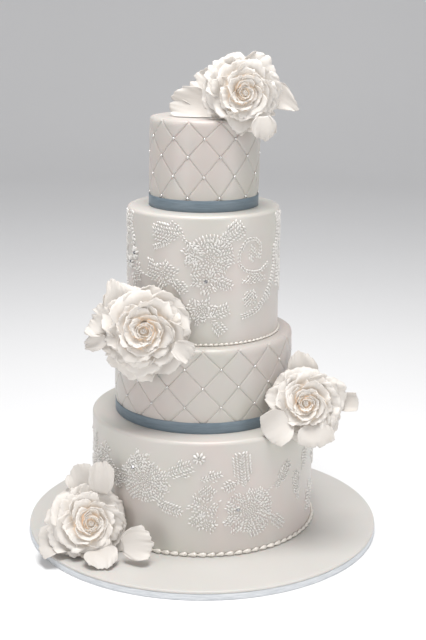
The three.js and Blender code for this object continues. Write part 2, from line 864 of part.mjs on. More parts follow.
const cake = new THREE.Group();
cake.add(
  named('board_drum', boardCore(), CARD),
  named('board_icing', boardIcing(), BOARD_ICING),
  named('board_ribbon', boardRibbon(), SILVER_SATIN),
);
cake.add(tierGroup(1, [
  named('tier_1', lacedTier(TIER_RADII[0], TIER_HEIGHTS[0], lowerLace()), LACE_ICING),
  named('border_1', beadBorder(1), BORDER_ICING),
]));
cake.add(tierGroup(2, [
  named('tier_2', quiltedTier(2), ICING),
  named('ribbon_2', ribbonBand(2), SATIN),
]));
cake.add(tierGroup(3, [
  named('tier_3', lacedTier(TIER_RADII[2], TIER_HEIGHTS[2], upperLace()), LACE_ICING),
  named('border_3', beadBorder(3), BORDER_ICING),
]));
cake.add(tierGroup(4, [
  named('tier_4', leaned(quiltedTier(4)), ICING),
  named('ribbon_4', leaned(ribbonBand(4)), SATIN),
]));
cake.add(...flowerMeshes());

export default cake;
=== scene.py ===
"""A four-tier iced wedding cake on its iced board, with quilting, piped lace and sugar roses.

Sizes below are in millimetres and become metres when a mesh is made. +Z is up, the front faces -Y
and the origin is the bottom centre of the board. Angles round the cake are in degrees from the
front, growing toward +X.
"""

import math

import bmesh
import bpy
import numpy as np
from bpy.props import FloatProperty, FloatVectorProperty, IntProperty, PointerProperty
from mathutils import Matrix, Vector


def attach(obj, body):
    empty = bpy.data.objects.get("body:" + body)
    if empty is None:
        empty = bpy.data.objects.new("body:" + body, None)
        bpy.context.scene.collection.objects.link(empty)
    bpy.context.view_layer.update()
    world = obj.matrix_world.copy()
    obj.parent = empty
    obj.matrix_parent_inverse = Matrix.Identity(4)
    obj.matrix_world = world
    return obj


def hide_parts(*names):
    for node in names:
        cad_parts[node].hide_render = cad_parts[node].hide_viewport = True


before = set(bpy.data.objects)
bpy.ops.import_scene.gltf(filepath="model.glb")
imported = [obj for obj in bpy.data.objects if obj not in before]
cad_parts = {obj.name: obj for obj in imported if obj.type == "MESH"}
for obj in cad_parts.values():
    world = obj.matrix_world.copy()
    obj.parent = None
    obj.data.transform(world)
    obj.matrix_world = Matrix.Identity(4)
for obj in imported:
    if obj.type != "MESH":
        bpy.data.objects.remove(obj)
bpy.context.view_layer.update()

bl_info = {
    "name": "Tiered wedding cake",
    "version": (1, 0, 0),
    "blender": (4, 5, 0),
    "location": "View3D > Sidebar > Cake",
    "description": "Dresses a four-tier wedding cake with icing, lace, ribbons and sugar roses",
    "category": "Object",
}

MM = 0.001
BODY = "root"

# Board and tiers, from the bottom up

CAKE_SETBACK = 10.0
BOARD_RADIUS = 245.2
BOARD_CORE_HEIGHT = 9.0
BOARD_HEIGHT = 12.5
BOARD_EDGE_ROUNDING = 2.6
BOARD_SEGMENTS = 224
TIER_RADII = (155.0, 122.6, 103.1, 73.9)
TIER_HEIGHTS = (159.5, 115.0, 171.5, 118.5)
TOP_TIER_LEAN = 0.019
SHOULDER_ROUNDING = 5.0
ROUND_SEGMENTS = 160

# Quilting of tiers 2 and 4: diamonds around, the first crossing's angle and the rows of crossings
# above the tier's base. The seat is how far the icing is pulled in under the ribbon's upper edge.

QUILTS = {
    2: {"around": 16, "phase": -10.75, "rows": (-14.0, 11.0, 36.5, 62.5, 88.0, 112.0, 136.0)},
    4: {"around": 11, "phase": 0.036, "rows": (-7.0, 18.5, 46.0, 71.5, 95.0, 116.0, 137.0)},
}
QUILT_RINGS = (0.0, 0.012, 0.026, 0.045, 0.09, 0.2, 0.35, 0.5)
QUILT_INSET = 8.0
QUILT_FADE = 4.0
GROOVE_HALF_WIDTH = 1.3
PUFF_REACH = 12.0
SEAT_DEPTH = 1.3
SEAT_ABOVE_RIBBON = (1.0, 6.5)

# Borders and ribbons

RIBBON_HEIGHT = 15.0
RIBBON_FOOT = 0.3
RIBBON_OUT = 0.3
RIBBON_THICKNESS = 0.9
BORDERS = {
    1: {"beads": 80, "height": 7.4, "depth": 5.2},
    3: {"beads": 94, "height": 4.6, "depth": 3.4},
}

# Piped lace: how far apart the grains lie in a petal, in an oval patch and in a leaf's midrib, and
# where the drawing is repeated round the tier

GRAIN_STEP = 4.0
GRAIN_LANE = 4.5
FIRST_LANE = 2.4
PATCH_STEP = 4.6
PATCH_LANE = 2.8
MIDRIB_STEP = 3.6
LACE_REPEATS = (0.0, 180.0)

# Sugar roses: whorls of petals from the widest inward to the bud, for a rose 120 mm across

ROSE_SIZE = 120.0
WHORL_PARTS = ("petals", "base_radius", "base_height", "length", "width", "start_tilt", "end_tilt",
               "wrap_base", "wrap_tip", "ruffle", "skew")
WHORLS = (
    (6, 13.0, -1.0, 48.0, 50.0, 74.0, 106.0, 60.0, 120.0, 2.6, 3.8),
    (5, 14.0, 5.0, 39.0, 44.0, 52.0, 86.0, 32.0, 60.0, 2.0, 3.4),
    (4, 13.5, 10.0, 29.0, 36.0, 30.0, 62.0, 20.0, 32.0, 1.2, 2.8),
    (3, 11.0, 14.0, 21.0, 27.0, 10.0, 34.0, 13.0, 17.0, 0.6, 1.8),
    (3, 6.0, 17.0, 16.0, 17.0, 4.0, 10.0, 8.0, 8.0, 0.0, 0.8),
)
PETAL_ROWS = (0.0, 0.5, 1.0, 1.5, 2.0, 2.5, 3.0, 3.4, 3.7, 4.0)
HEART_ROWS_FROM = 2.5
BUD_FOOT = 14.0
BUD_TIP = 31.0
BUD_TURNS = 2.2
BUD_ROLL = (6.2, 2.9)
BUD_LEAF_THICKNESS = 0.7
# Rolled core of the bud and the knob that the petals are stuck to, as radius and height
BUD_CORE = ((0, 16), (2.1, 16.5), (2.2, 22), (1.8, 27), (1.2, 30.4), (0.6, 31.9), (0, 32.3))
FLOWER_FOOT = ((0, -2.0), (8.5, -1.6), (13.0, 0.6), (14.6, 4.5), (13.5, 9.0), (9.0, 12.5), (0, 13.5))
ROSES = (
    {"name": "rose_board", "foot": (-151, -121, 47), "facing": 14, "lift": 26, "spin": 20,
     "size": 110, "seed": 3},
    {"name": "rose_left", "foot": (-75, -92, 307), "facing": 0, "lift": 15, "spin": 60,
     "size": 120, "seed": 41},
    {"name": "rose_right", "foot": (137, -80, 205), "facing": 0, "lift": 17, "spin": 24,
     "size": 104, "seed": 87},
    {"name": "rose_top", "foot": (50, -36, 609.5), "facing": 8, "lift": 6, "spin": 5,
     "size": 104, "seed": 129},
)

# Loose petals: name, start, end, width, cup, frill, point of the tip and which way the open side looks

# Painted shade: the loose petals take the rose petals' colour darkened, as they lie open to the light from
# above
LOOSE_PETAL_PAINTED_SHADE = 0.84
FRONT = (0.0, -1.0, 0.35)
UPWARD = (0.0, -0.5, 1.0)
LOOSE_PETALS = (
    ("petal_board_up", (-134, -118, 88), (-132, -116, 134), 36, 3, 0.9, 0.05, FRONT),
    ("petal_board_back", (-148, -106, 84), (-172, -96, 119), 42, 4, 0.8, 0.0, FRONT),
    ("petal_board_left", (-182, -132, 30), (-217, -138, 22), 54, 4, 0.7, 0.0, UPWARD),
    ("petal_board_front", (-136, -154, 26), (-124, -186, 18), 50, 3, 0.8, 0.15, UPWARD),
    ("petal_board_right", (-104, -160, 34), (-64, -164, 44), 46, 5, 1.1, 0.0, FRONT),
    ("petal_left_upper", (-103, -88, 322), (-116, -82, 366), 50, 8, 2.2, 0.2, FRONT),
    ("petal_left_side", (-120, -99, 314), (-147, -93, 326), 46, 4, 2.4, 0.0, FRONT),
    ("petal_left_lower", (-123, -108, 300), (-152, -99, 289), 26, 5, 0.8, 0.1, FRONT),
    ("petal_left_right", (-38, -126, 296), (-11, -126, 284), 30, 4, 1.4, 0.0, FRONT),
    ("petal_right_top", (138, -50, 228), (131, -44, 262), 48, 4, 1.0, 0.2, FRONT),
    ("petal_right_lower", (115, -109, 193), (82, -121, 174), 52, 9, 0.4, 0.0, FRONT),
    ("petal_right_low", (147, -106, 186), (151, -122, 158), 50, 5, 0.8, 0.0, FRONT),
    ("petal_right_side", (178, -72, 204), (211, -70, 204), 30, 8, 0.2, 0.0, FRONT),
    ("petal_top_left", (18, -18, 586), (-45, 4, 590), 54, 6, 1.5, 0.0, FRONT),
    ("petal_top_back", (28, 2, 592), (-20, 16, 620), 56, 7, 1.5, 0.0, FRONT),
    ("petal_top_right", (82, -14, 612), (117, -16, 593), 44, 5, 0.8, 0.3, FRONT),
    ("petal_top_drape", (76, -64, 584), (78, -67, 555), 36, 4, 1.5, 0.1, FRONT),
)

# Painted warm shade in a rose's recesses: how deep behind its face it begins, over what depth it grows,
# and the rings and sectors that the face is measured in

RECESS_SHADE_FROM = 1.5
RECESS_SHADE_OVER = 9.0
FACE_RING = 2.2
FACE_RINGS = 40
FACE_SECTORS = 30

# Camera, light and floor, in metres

CAMERA_PLACE = (0.0137, -1.651, 0.7309)
CAMERA_PITCH = 14.68
CAMERA_ROLL = 0.302
CAMERA_LENS = 69.6
# Name, place, target, size and power
LIGHTS = (
    ("key_light", (-1.4, -1.6, 0.48), (0.0, 0.0, 0.12), 1.1, 8.8),
    ("fill_light", (1.6, -1.4, 0.45), (0.0, 0.0, 0.12), 1.2, 10.0),
    ("top_light", (0.0, -0.3, 2.2), (0.0, 0.0, 0.4), 1.2, 44.0),
)
AIR_COLOUR = (0.98, 0.98, 1.0, 1.0)
AIR_STRENGTH = 0.50
FLOOR_HALF_WIDTH = 7.0
FLOOR_FRONT = -5.0
SWEEP_START = 3.4
SWEEP_RADIUS = 1.6
WALL_TOP = 5.0


# Sizes and colours that a user can change


def length_property(label, meaning, millimetres):
    return FloatProperty(name=label, description=meaning, default=millimetres * MM, min=0.0, unit="LENGTH")


def colour_property(label, meaning, red, green, blue):
    return FloatVectorProperty(name=label, description=meaning, default=(red, green, blue, 1.0), size=4,
                               min=0.0, max=1.0, subtype="COLOR")


class CakeSizes(bpy.types.PropertyGroup):
    """Sizes of the cake's fine detail"""

    groove_depth: length_property("Groove Depth", "How deep the quilting is pressed", 1.2)
    quilt_puff: length_property("Quilt Puff", "How far each diamond swells between its grooves", 0.6)
    pearl_diameter: length_property("Quilt Pearl", "Diameter of the pearls at the crossings", 3.3)
    grain_length: length_property("Grain Length", "Length of a piped grain of the lace", 6.0)
    grain_width: length_property("Grain Width", "Width of a piped grain of the lace", 2.5)
    grain_rise: length_property("Grain Rise", "How far a grain stands out of the icing", 2.1)
    crystal_diameter: length_property("Crystal", "Diameter of the crystals in the lace", 5.0)
    petal_thickness: length_property("Petal Thickness", "Thickness of a sugar petal at its root", 1.2)
    petal_edge: length_property("Petal Edge", "Thickness of a sugar petal at its rim", 0.5)
    petal_frill: length_property("Petal Frill", "Height of the fine frill along a petal's rim", 1.3)
    seed: IntProperty(
        name="Seed", description="Seed of everything that varies from piece to piece", default=7)


class CakeColours(bpy.types.PropertyGroup):
    """Colours of the icing, ribbons and flowers"""

    icing: colour_property("Icing", "Pearly icing of the quilted tiers", 0.51, 0.477, 0.44)
    # painted light: the laced tiers are iced with the same paste as the quilted tiers, set lighter for the
    # brighter light on the bottom tier
    lace_icing: colour_property("Lace Icing", "Pearly icing of the laced tiers", 0.555, 0.522, 0.484)
    board_icing: colour_property("Board Icing", "Icing on the board", 0.565, 0.545, 0.515)
    lace: colour_property("Lace", "Piped grains", 0.79, 0.77, 0.74)
    border: colour_property("Border", "Piped bead borders", 0.76, 0.72, 0.66)
    satin: colour_property("Satin", "Slate satin ribbons", 0.145, 0.19, 0.225)
    silver_satin: colour_property("Board Satin", "Satin ribbon round the board", 0.60, 0.62, 0.64)
    pearl: colour_property("Pearl", "Silver pearls", 0.80, 0.79, 0.77)
    crystal: colour_property("Crystal", "Smoky crystals", 0.30, 0.30, 0.31)
    petal: colour_property("Petal", "Sugar petals", 0.73, 0.685, 0.635)
    # painted warm shade and glow deep in a rose's recesses, standing in for light through the petals
    petal_recess_shade: colour_property("Petal Heart", "Warm tint deep in a rose", 0.80, 0.60, 0.43)
    floor: colour_property("Floor", "Studio floor", 0.84, 0.84, 0.84)


# Small sums


def tier_base(number):
    return BOARD_HEIGHT + sum(TIER_HEIGHTS[:number - 1])


def vary(first, second):
    """A repeatable number between -1 and 1 for two numbers"""
    wave = math.sin(first * 12.9898 + second * 78.233) * 43.5453
    return 2.0 * (wave - math.floor(wave)) - 1.0


def mixed(low, high, share):
    return low + (high - low) * share


def smooth_step(low, high, value):
    share = np.clip((value - low) / (high - low), 0.0, 1.0)
    return share * share * (3.0 - 2.0 * share)


def around_cake(angle, radius, height):
    """Points round the cake's axis, in millimetres"""
    turn = np.radians(angle)
    return np.stack(np.broadcast_arrays(
        radius * np.sin(turn), CAKE_SETBACK - radius * np.cos(turn), height), axis=-1)


def leaned(points, base):
    """The top tier's slight lean toward +X"""
    points = np.array(points, dtype=float)
    points[..., 0] += TOP_TIER_LEAN * (points[..., 2] - base)
    return points


# Meshes


def grid_faces(columns, rows, closed=False):
    """Quads of a grid whose points run row by row inside each column"""
    faces = []
    for column in range(columns if closed else columns - 1):
        after = (column + 1) % columns
        for row in range(rows - 1):
            faces.append((column * rows + row, after * rows + row,
                          after * rows + row + 1, column * rows + row + 1))
    return faces


def new_piece(name, points, faces, uv=None, values=None, sharp_angle=None):
    """A mesh object from points in millimetres, with optional UVs and point values"""
    mesh = bpy.data.meshes.new(name)
    mesh.from_pydata((np.asarray(points, dtype=float).reshape(-1, 3) * MM).tolist(), [], faces)
    mesh.shade_smooth()
    if sharp_angle is not None:
        mesh.set_sharp_from_angle(angle=math.radians(sharp_angle))
    if uv is not None:
        corners = np.empty(len(mesh.loops), dtype=np.int32)
        mesh.loops.foreach_get("vertex_index", corners)
        layer = mesh.uv_layers.new(name="UVMap")
        layer.data.foreach_set("uv", np.asarray(uv, dtype=np.float32).reshape(-1, 2)[corners].ravel())
    for label, numbers in (values or {}).items():
        attribute = mesh.attributes.new(label, "FLOAT", "POINT")
        attribute.data.foreach_set("value", np.asarray(numbers, dtype=np.float32).ravel())
    mesh.update()
    piece = bpy.data.objects.new(name, mesh)
    bpy.context.scene.collection.objects.link(piece)
    return piece


def place_piece(piece, material, slot, *nodes):
    """Gives a piece its finish and its place in the model"""
    piece.data.materials.clear()
    piece.data.materials.append(material)
    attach(piece, BODY)
    if nodes:
        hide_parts(*nodes)
    return piece


def turned_shape(profile, segments=ROUND_SEGMENTS):
    """A closed body turned round the cake's axis; the profile starts and ends on the axis"""
    inner = profile[1:-1]
    angles = np.arange(segments) * 360.0 / segments
    rings = np.array([[around_cake(angle, radius, height) for radius, height in inner] for angle in angles])
    hubs = np.array([around_cake(0.0, 0.0, profile[0][1]), around_cake(0.0, 0.0, profile[-1][1])])
    return np.vstack([rings.reshape(-1, 3), hubs]), turned_faces(segments, len(inner))


def turned_faces(segments, rows):
    """Faces of a turned body whose last two points are its hubs below and above"""
    faces = grid_faces(segments, rows, closed=True)
    bottom, top = segments * rows, segments * rows + 1
    for column in range(segments):
        after = (column + 1) % segments
        faces.append((bottom, after * rows, column * rows))
        faces.append((top, column * rows + rows - 1, after * rows + rows - 1))
    return faces


def rounded_edge(radius, height, rounding, steps=8):
    angles = np.linspace(0.0, math.pi / 2, steps + 1)
    return [(radius - rounding + rounding * math.cos(a), height - rounding + rounding * math.sin(a))
            for a in angles]


# Node trees


def add_node(tree, kind, sockets=None, **settings):
    """Adds a node, sets its options and fills or links its open sockets by name or index"""
    node = tree.nodes.new(kind)
    for option, value in settings.items():
        setattr(node, option, value)
    for key, value in (sockets or {}).items():
        if isinstance(key, int):
            socket = node.inputs[key]
        else:
            socket = next(s for s in node.inputs if s.enabled and s.name == key)
        if isinstance(value, bpy.types.NodeSocket):
            tree.links.new(value, socket)
        else:
            socket.default_value = value
    return node


def out(node, name=None):
    return next(s for s in node.outputs if s.enabled and (name is None or s.name == name))


def math_node(tree, operation, first, second):
    return out(add_node(tree, "ShaderNodeMath", {0: first, 1: second}, operation=operation))


def new_geometry_tree(name, inputs):
    tree = bpy.data.node_groups.new(name, "GeometryNodeTree")
    tree.interface.new_socket("Geometry", in_out="INPUT", socket_type="NodeSocketGeometry")
    for label, kind, default in inputs:
        socket = tree.interface.new_socket(label, in_out="INPUT", socket_type=kind)
        if default is not None:
            socket.default_value = default
    tree.interface.new_socket("Geometry", in_out="OUTPUT", socket_type="NodeSocketGeometry")
    return tree, add_node(tree, "NodeGroupInput")


def end_tree(tree, instances, given):
    """Realizes the instances, gives them the material and closes the tree"""
    real = add_node(tree, "GeometryNodeRealizeInstances", {"Geometry": instances})
    finished = add_node(tree, "GeometryNodeSetMaterial",
                        {"Geometry": out(real), "Material": out(given, "Material")})
    add_node(tree, "NodeGroupOutput", {0: out(finished)})


def grown(name, tree, start, inputs):
    """The plain mesh object that a node tree makes from a start object, which is used up"""
    modifier = start.modifiers.new(name, "NODES")
    modifier.node_group = tree
    for item in tree.interface.items_tree:
        if item.in_out == "INPUT" and item.name in inputs:
            modifier[item.identifier] = inputs[item.name]
    evaluated = start.evaluated_get(bpy.context.evaluated_depsgraph_get())
    mesh = bpy.data.meshes.new_from_object(evaluated)
    start.modifiers.remove(modifier)
    bpy.data.objects.remove(start)
    mesh.name = name
    piece = bpy.data.objects.new(name, mesh)
    bpy.context.scene.collection.objects.link(piece)
    return piece


FLOAT = "NodeSocketFloat"
WHOLE = "NodeSocketInt"


def point_value(tree, name, kind="FLOAT"):
    node = add_node(tree, "GeometryNodeInputNamedAttribute", {"Name": name}, data_type=kind)
    return out(node, "Attribute")


def side_rotation(tree):
    """Turns a bead so that it lies on the tier's side at its point's angle and slant"""
    upright = add_node(tree, "ShaderNodeCombineXYZ",
                       {"X": math.pi / 2, "Z": point_value(tree, "angle")})
    lying = add_node(tree, "FunctionNodeEulerToRotation", {"Euler": out(upright)})
    slant = add_node(tree, "FunctionNodeAxisAngleToRotation",
                     {"Axis": (0.0, 0.0, 1.0), "Angle": point_value(tree, "slant")})
    turned = add_node(tree, "FunctionNodeRotateRotation",
                      {"Rotation": out(lying), "Rotate By": out(slant)}, rotation_space="LOCAL")
    return out(turned)


def grain_tree():
    """Grains and round beads scattered over points on a tier's side"""
    tree, given = new_geometry_tree("Piped grains", [
        ("Length", FLOAT, 0.005), ("Width", FLOAT, 0.002), ("Rise", FLOAT, 0.0013),
        ("Size Variation", FLOAT, 0.15), ("Seed", WHOLE, 0), ("Material", "NodeSocketMaterial", None)])
    half_length, half_width = (math_node(tree, "MULTIPLY", out(given, label), 0.5)
                               for label in ("Length", "Width"))
    ball = add_node(tree, "GeometryNodeMeshUVSphere", {"Segments": 6, "Rings": 4, "Radius": 1.0})
    is_round = point_value(tree, "round", "BOOLEAN")
    is_long = out(add_node(tree, "FunctionNodeBooleanMath", {0: is_round}, operation="NOT"))
    least = math_node(tree, "SUBTRACT", 1.0, out(given, "Size Variation"))
    chance = add_node(tree, "FunctionNodeRandomValue",
                      {"Min": least, "Max": 1.0, "Seed": out(given, "Seed")}, data_type="FLOAT")
    size = math_node(tree, "MULTIPLY", out(chance), point_value(tree, "size"))
    rotation = side_rotation(tree)
    joined = add_node(tree, "GeometryNodeJoinGeometry")
    for chosen, reach in ((is_long, half_length), (is_round, half_width)):
        scale = add_node(tree, "ShaderNodeCombineXYZ", {"X": reach, "Y": half_width, "Z": out(given, "Rise")})
        bead = add_node(tree, "GeometryNodeTransform", {"Geometry": out(ball, "Mesh"), "Scale": out(scale)})
        placed = add_node(tree, "GeometryNodeInstanceOnPoints", {
            "Points": out(given, "Geometry"), "Selection": chosen, "Instance": out(bead),
            "Rotation": rotation, "Scale": size})
        tree.links.new(out(placed), joined.inputs[0])
    smooth = add_node(tree, "GeometryNodeSetShadeSmooth", {"Geometry": out(joined)})
    end_tree(tree, out(smooth), given)
    return tree


def pearl_tree():
    """One round pearl on each point"""
    tree, given = new_geometry_tree("Quilt pearls", [
        ("Diameter", FLOAT, 0.003), ("Material", "NodeSocketMaterial", None)])
    radius = math_node(tree, "MULTIPLY", out(given, "Diameter"), 0.5)
    ball = add_node(tree, "GeometryNodeMeshUVSphere", {"Segments": 16, "Rings": 10, "Radius": radius})
    smooth = add_node(tree, "GeometryNodeSetShadeSmooth", {"Geometry": out(ball, "Mesh")})
    placed = add_node(tree, "GeometryNodeInstanceOnPoints",
                      {"Points": out(given, "Geometry"), "Instance": out(smooth)})
    end_tree(tree, out(placed), given)
    return tree


def crystal_tree():
    """One cut crystal on each point, its table outward"""
    tree, given = new_geometry_tree("Cut crystals", [
        ("Diameter", FLOAT, 0.005), ("Material", "NodeSocketMaterial", None)])
    radius = math_node(tree, "MULTIPLY", out(given, "Diameter"), 0.5)
    table = math_node(tree, "MULTIPLY", radius, 0.55)
    height = math_node(tree, "MULTIPLY", radius, 0.7)
    crown = add_node(tree, "GeometryNodeMeshCone", {
        "Vertices": 9, "Side Segments": 2, "Radius Top": table, "Radius Bottom": radius, "Depth": height})
    placed = add_node(tree, "GeometryNodeInstanceOnPoints", {
        "Points": out(given, "Geometry"), "Instance": out(crown, "Mesh"), "Rotation": side_rotation(tree)})
    flat = add_node(tree, "GeometryNodeSetShadeSmooth", {"Geometry": out(placed), "Shade Smooth": False})
    end_tree(tree, out(flat), given)
    return tree


def border_tree():
    """A snail trail of beads in a ring, each fat at its head and thin at its tail"""
    tree, given = new_geometry_tree("Bead border", [
        ("Beads", WHOLE, 80), ("Radius", FLOAT, 0.155), ("Base", FLOAT, 0.0125), ("Setback", FLOAT, 0.01),
        ("Height", FLOAT, 0.0074), ("Depth", FLOAT, 0.0052), ("Size Variation", FLOAT, 0.12),
        ("Seed", WHOLE, 0), ("Material", "NodeSocketMaterial", None)])

    def value(operation, first, second):
        return math_node(tree, operation, first, second)

    half_height = value("MULTIPLY", out(given, "Height"), 0.5)
    mid_level = value("ADD", out(given, "Base"), value("MULTIPLY", out(given, "Height"), 0.42))
    centre = add_node(tree, "ShaderNodeCombineXYZ", {"Y": out(given, "Setback"), "Z": mid_level})
    reach = value("ADD", out(given, "Radius"), value("MULTIPLY", out(given, "Depth"), 0.35))
    ring = add_node(tree, "GeometryNodeMeshCircle", {"Vertices": out(given, "Beads"), "Radius": reach})
    seat = add_node(tree, "GeometryNodeTransform", {"Geometry": out(ring), "Translation": out(centre)})
    girth = value("MULTIPLY", reach, 2 * math.pi)
    half_length = value("MULTIPLY", value("DIVIDE", girth, out(given, "Beads")), 0.55)
    ball = add_node(tree, "GeometryNodeMeshUVSphere", {"Segments": 14, "Rings": 9, "Radius": 1.0})
    place = add_node(tree, "GeometryNodeInputPosition")
    parts = add_node(tree, "ShaderNodeSeparateXYZ", {0: out(place)})
    taper = value("ADD", value("MULTIPLY", out(parts, "X"), 0.42), 0.76)
    level = value("MULTIPLY", out(parts, "Z"), taper)
    side = value("MULTIPLY", out(parts, "Y"), taper)
    drop = add_node(tree, "ShaderNodeCombineXYZ", {"X": out(parts, "X"), "Y": side, "Z": level})
    pulled = add_node(tree, "GeometryNodeSetPosition", {"Geometry": out(ball, "Mesh"), "Position": out(drop)})
    half_depth = value("MULTIPLY", out(given, "Depth"), 0.62)
    scale = add_node(tree, "ShaderNodeCombineXYZ", {"X": half_length, "Y": half_depth, "Z": half_height})
    bead = add_node(tree, "GeometryNodeTransform", {"Geometry": out(pulled), "Scale": out(scale)})
    smooth = add_node(tree, "GeometryNodeSetShadeSmooth", {"Geometry": out(bead)})
    index = add_node(tree, "GeometryNodeInputIndex")
    step = value("DIVIDE", 2 * math.pi, out(given, "Beads"))
    turn = value("ADD", value("MULTIPLY", out(index), step), math.pi / 2)
    lift = add_node(tree, "FunctionNodeRandomValue",
                    {"Min": -0.16, "Max": 0.02, "Seed": out(given, "Seed")}, data_type="FLOAT")
    rotation = add_node(tree, "ShaderNodeCombineXYZ", {"Y": out(lift), "Z": turn})
    euler = add_node(tree, "FunctionNodeEulerToRotation", {"Euler": out(rotation)})
    least = value("SUBTRACT", 1.0, out(given, "Size Variation"))
    chance = add_node(tree, "FunctionNodeRandomValue",
                      {"Min": least, "Max": 1.04, "Seed": out(given, "Seed")}, data_type="FLOAT")
    placed = add_node(tree, "GeometryNodeInstanceOnPoints", {
        "Points": out(seat), "Instance": out(smooth), "Rotation": out(euler), "Scale": out(chance)})
    end_tree(tree, out(placed), given)
    return tree


# Finishes


def new_finish(name, colour, roughness, **sockets):
    """A shader with its plain values set; returns the material, its tree and its shader"""
    material = bpy.data.materials.new(name)
    material.use_nodes = True
    tree = material.node_tree
    shader = tree.nodes["Principled BSDF"]
    shader.inputs["Base Color"].default_value = colour
    shader.inputs["Roughness"].default_value = roughness
    for label, value in sockets.items():
        shader.inputs[label.replace("_", " ")].default_value = value
    material.diffuse_color = colour
    return material, tree, shader


def object_noise(tree, scale, detail=3.0, stretch=None):
    where = out(add_node(tree, "ShaderNodeTexCoord"), "Object")
    if stretch:
        where = out(add_node(tree, "ShaderNodeMapping", {"Vector": where, "Scale": stretch}))
    noise = add_node(tree, "ShaderNodeTexNoise",
                     {"Vector": where, "Scale": scale, "Detail": detail, "Roughness": 0.5})
    return out(noise, "Fac")


def link_bump(tree, shader, height, strength, distance, before=None):
    sockets = {"Height": height, "Strength": strength, "Distance": distance}
    if before is not None:
        sockets["Normal"] = before
    bump = out(add_node(tree, "ShaderNodeBump", sockets))
    tree.links.new(bump, shader.inputs["Normal"])
    return bump


def colour_ramp(tree, value, stops):
    ramp = add_node(tree, "ShaderNodeValToRGB", {"Fac": value})
    ramp.color_ramp.elements[0].position = stops[0][0]
    ramp.color_ramp.elements[0].color = stops[0][1]
    ramp.color_ramp.elements[1].position = stops[-1][0]
    ramp.color_ramp.elements[1].color = stops[-1][1]
    for position, colour in stops[1:-1]:
        ramp.color_ramp.elements.new(position).color = colour
    return out(ramp, "Color")


def tinted(colour, *factors):
    return tuple(min(1.0, c * f) for c, f in zip(colour[:3], factors)) + (1.0,)


def toned(tree, shader, colour, pattern, *stops):
    """Tints the base colour along a pattern; a stop is its place and its red, green and blue factors"""
    tones = [(place, tinted(colour, *factors)) for place, *factors in stops]
    tree.links.new(colour_ramp(tree, pattern, tones), shader.inputs["Base Color"])


def pearly_icing(name, colour, roughness):
    """Smooth sugar paste dusted with pearl lustre; its faint rosy and greenish patches are painted sheen for
    the lustre's shimmer
    """
    material, tree, shader = new_finish(
        name, colour, roughness, Coat_Weight=0.25, Coat_Roughness=0.35, Sheen_Weight=0.12,
        Sheen_Roughness=0.4, Subsurface_Weight=0.08, Subsurface_Scale=0.004)
    patches = object_noise(tree, 9.0, detail=2.0)
    # painted sheen: rosy and greenish patches stand in for the shimmer of the pearl lustre
    toned(tree, shader, colour, patches,
          (0.32, 0.985, 1.015, 0.985), (0.5, 1.0, 1.0, 1.0), (0.66, 1.03, 0.985, 0.99))
    soft = link_bump(tree, shader, object_noise(tree, 45.0), 0.10, 0.002)
    link_bump(tree, shader, object_noise(tree, 900.0, detail=2.0), 0.12, 0.0002, before=soft)
    gloss = add_node(tree, "ShaderNodeMapRange", {
        "Value": patches, "From Min": 0.3, "From Max": 0.7,
        "To Min": roughness - 0.05, "To Max": roughness + 0.07})
    tree.links.new(out(gloss), shader.inputs["Roughness"])
    return material


def matt_icing(name, colour):
    """Plain sugar paste, rolled smooth"""
    material, tree, shader = new_finish(
        name, colour, 0.5, Subsurface_Weight=0.1, Subsurface_Scale=0.004,
        Coat_Weight=0.06, Coat_Roughness=0.5)
    toned(tree, shader, colour, object_noise(tree, 6.0),
          (0.3, 0.965, 0.965, 0.96), (0.55, 1.0, 1.0, 1.0), (0.75, 1.03, 1.03, 1.03))
    soft = link_bump(tree, shader, object_noise(tree, 30.0), 0.12, 0.003)
    link_bump(tree, shader, object_noise(tree, 700.0, detail=2.0), 0.15, 0.0002, before=soft)
    return material


def piped_icing(name, colour, roughness):
    """Piped icing brushed with pearl"""
    material, tree, shader = new_finish(
        name, colour, roughness, Metallic=0.1, Coat_Weight=0.15, Coat_Roughness=0.25)
    toned(tree, shader, colour, object_noise(tree, 380.0, detail=2.0),
          (0.3, 0.86, 0.85, 0.84), (0.6, 1.0, 1.0, 1.0), (0.8, 1.12, 1.12, 1.12))
    link_bump(tree, shader, object_noise(tree, 1200.0, detail=2.0), 0.2, 0.0002)
    return material


def satin_ribbon(name, colour, roughness):
    """Satin with a fine crosswise rib and a soft sheen"""
    material, tree, shader = new_finish(
        name, colour, roughness, Anisotropic=0.5, Sheen_Weight=0.25, Sheen_Roughness=0.35,
        Sheen_Tint=(0.75, 0.85, 0.95, 1.0))
    toned(tree, shader, colour, object_noise(tree, 60.0, stretch=(1.0, 1.0, 12.0)),
          (0.3, 0.86, 0.87, 0.88), (0.5, 1.0, 1.0, 1.0), (0.72, 1.16, 1.15, 1.14))
    where = out(add_node(tree, "ShaderNodeTexCoord"), "Object")
    ribs = add_node(tree, "ShaderNodeTexWave",
                    {"Vector": where, "Scale": 500.0, "Distortion": 0.6, "Detail": 1.0},
                    bands_direction="Z")
    soft = link_bump(tree, shader, object_noise(tree, 25.0, stretch=(1.0, 1.0, 0.4)), 0.25, 0.002)
    link_bump(tree, shader, out(ribs, "Fac"), 0.12, 0.0002, before=soft)
    return material


def silver_pearl(name, colour):
    material, tree, shader = new_finish(
        name, colour, 0.2, Metallic=0.85, Coat_Weight=0.4, Coat_Roughness=0.08)
    toned(tree, shader, colour, object_noise(tree, 500.0, detail=2.0),
          (0.35, 0.85, 0.85, 0.86), (0.65, 1.1, 1.1, 1.1))
    return material


def cut_crystal(name, colour):
    material, tree, shader = new_finish(
        name, colour, 0.06, Metallic=0.75, Coat_Weight=0.8, Coat_Roughness=0.03)
    toned(tree, shader, colour, object_noise(tree, 900.0, detail=1.0),
          (0.4, 0.45, 0.45, 0.47), (0.6, 1.9, 1.9, 1.9))
    return material


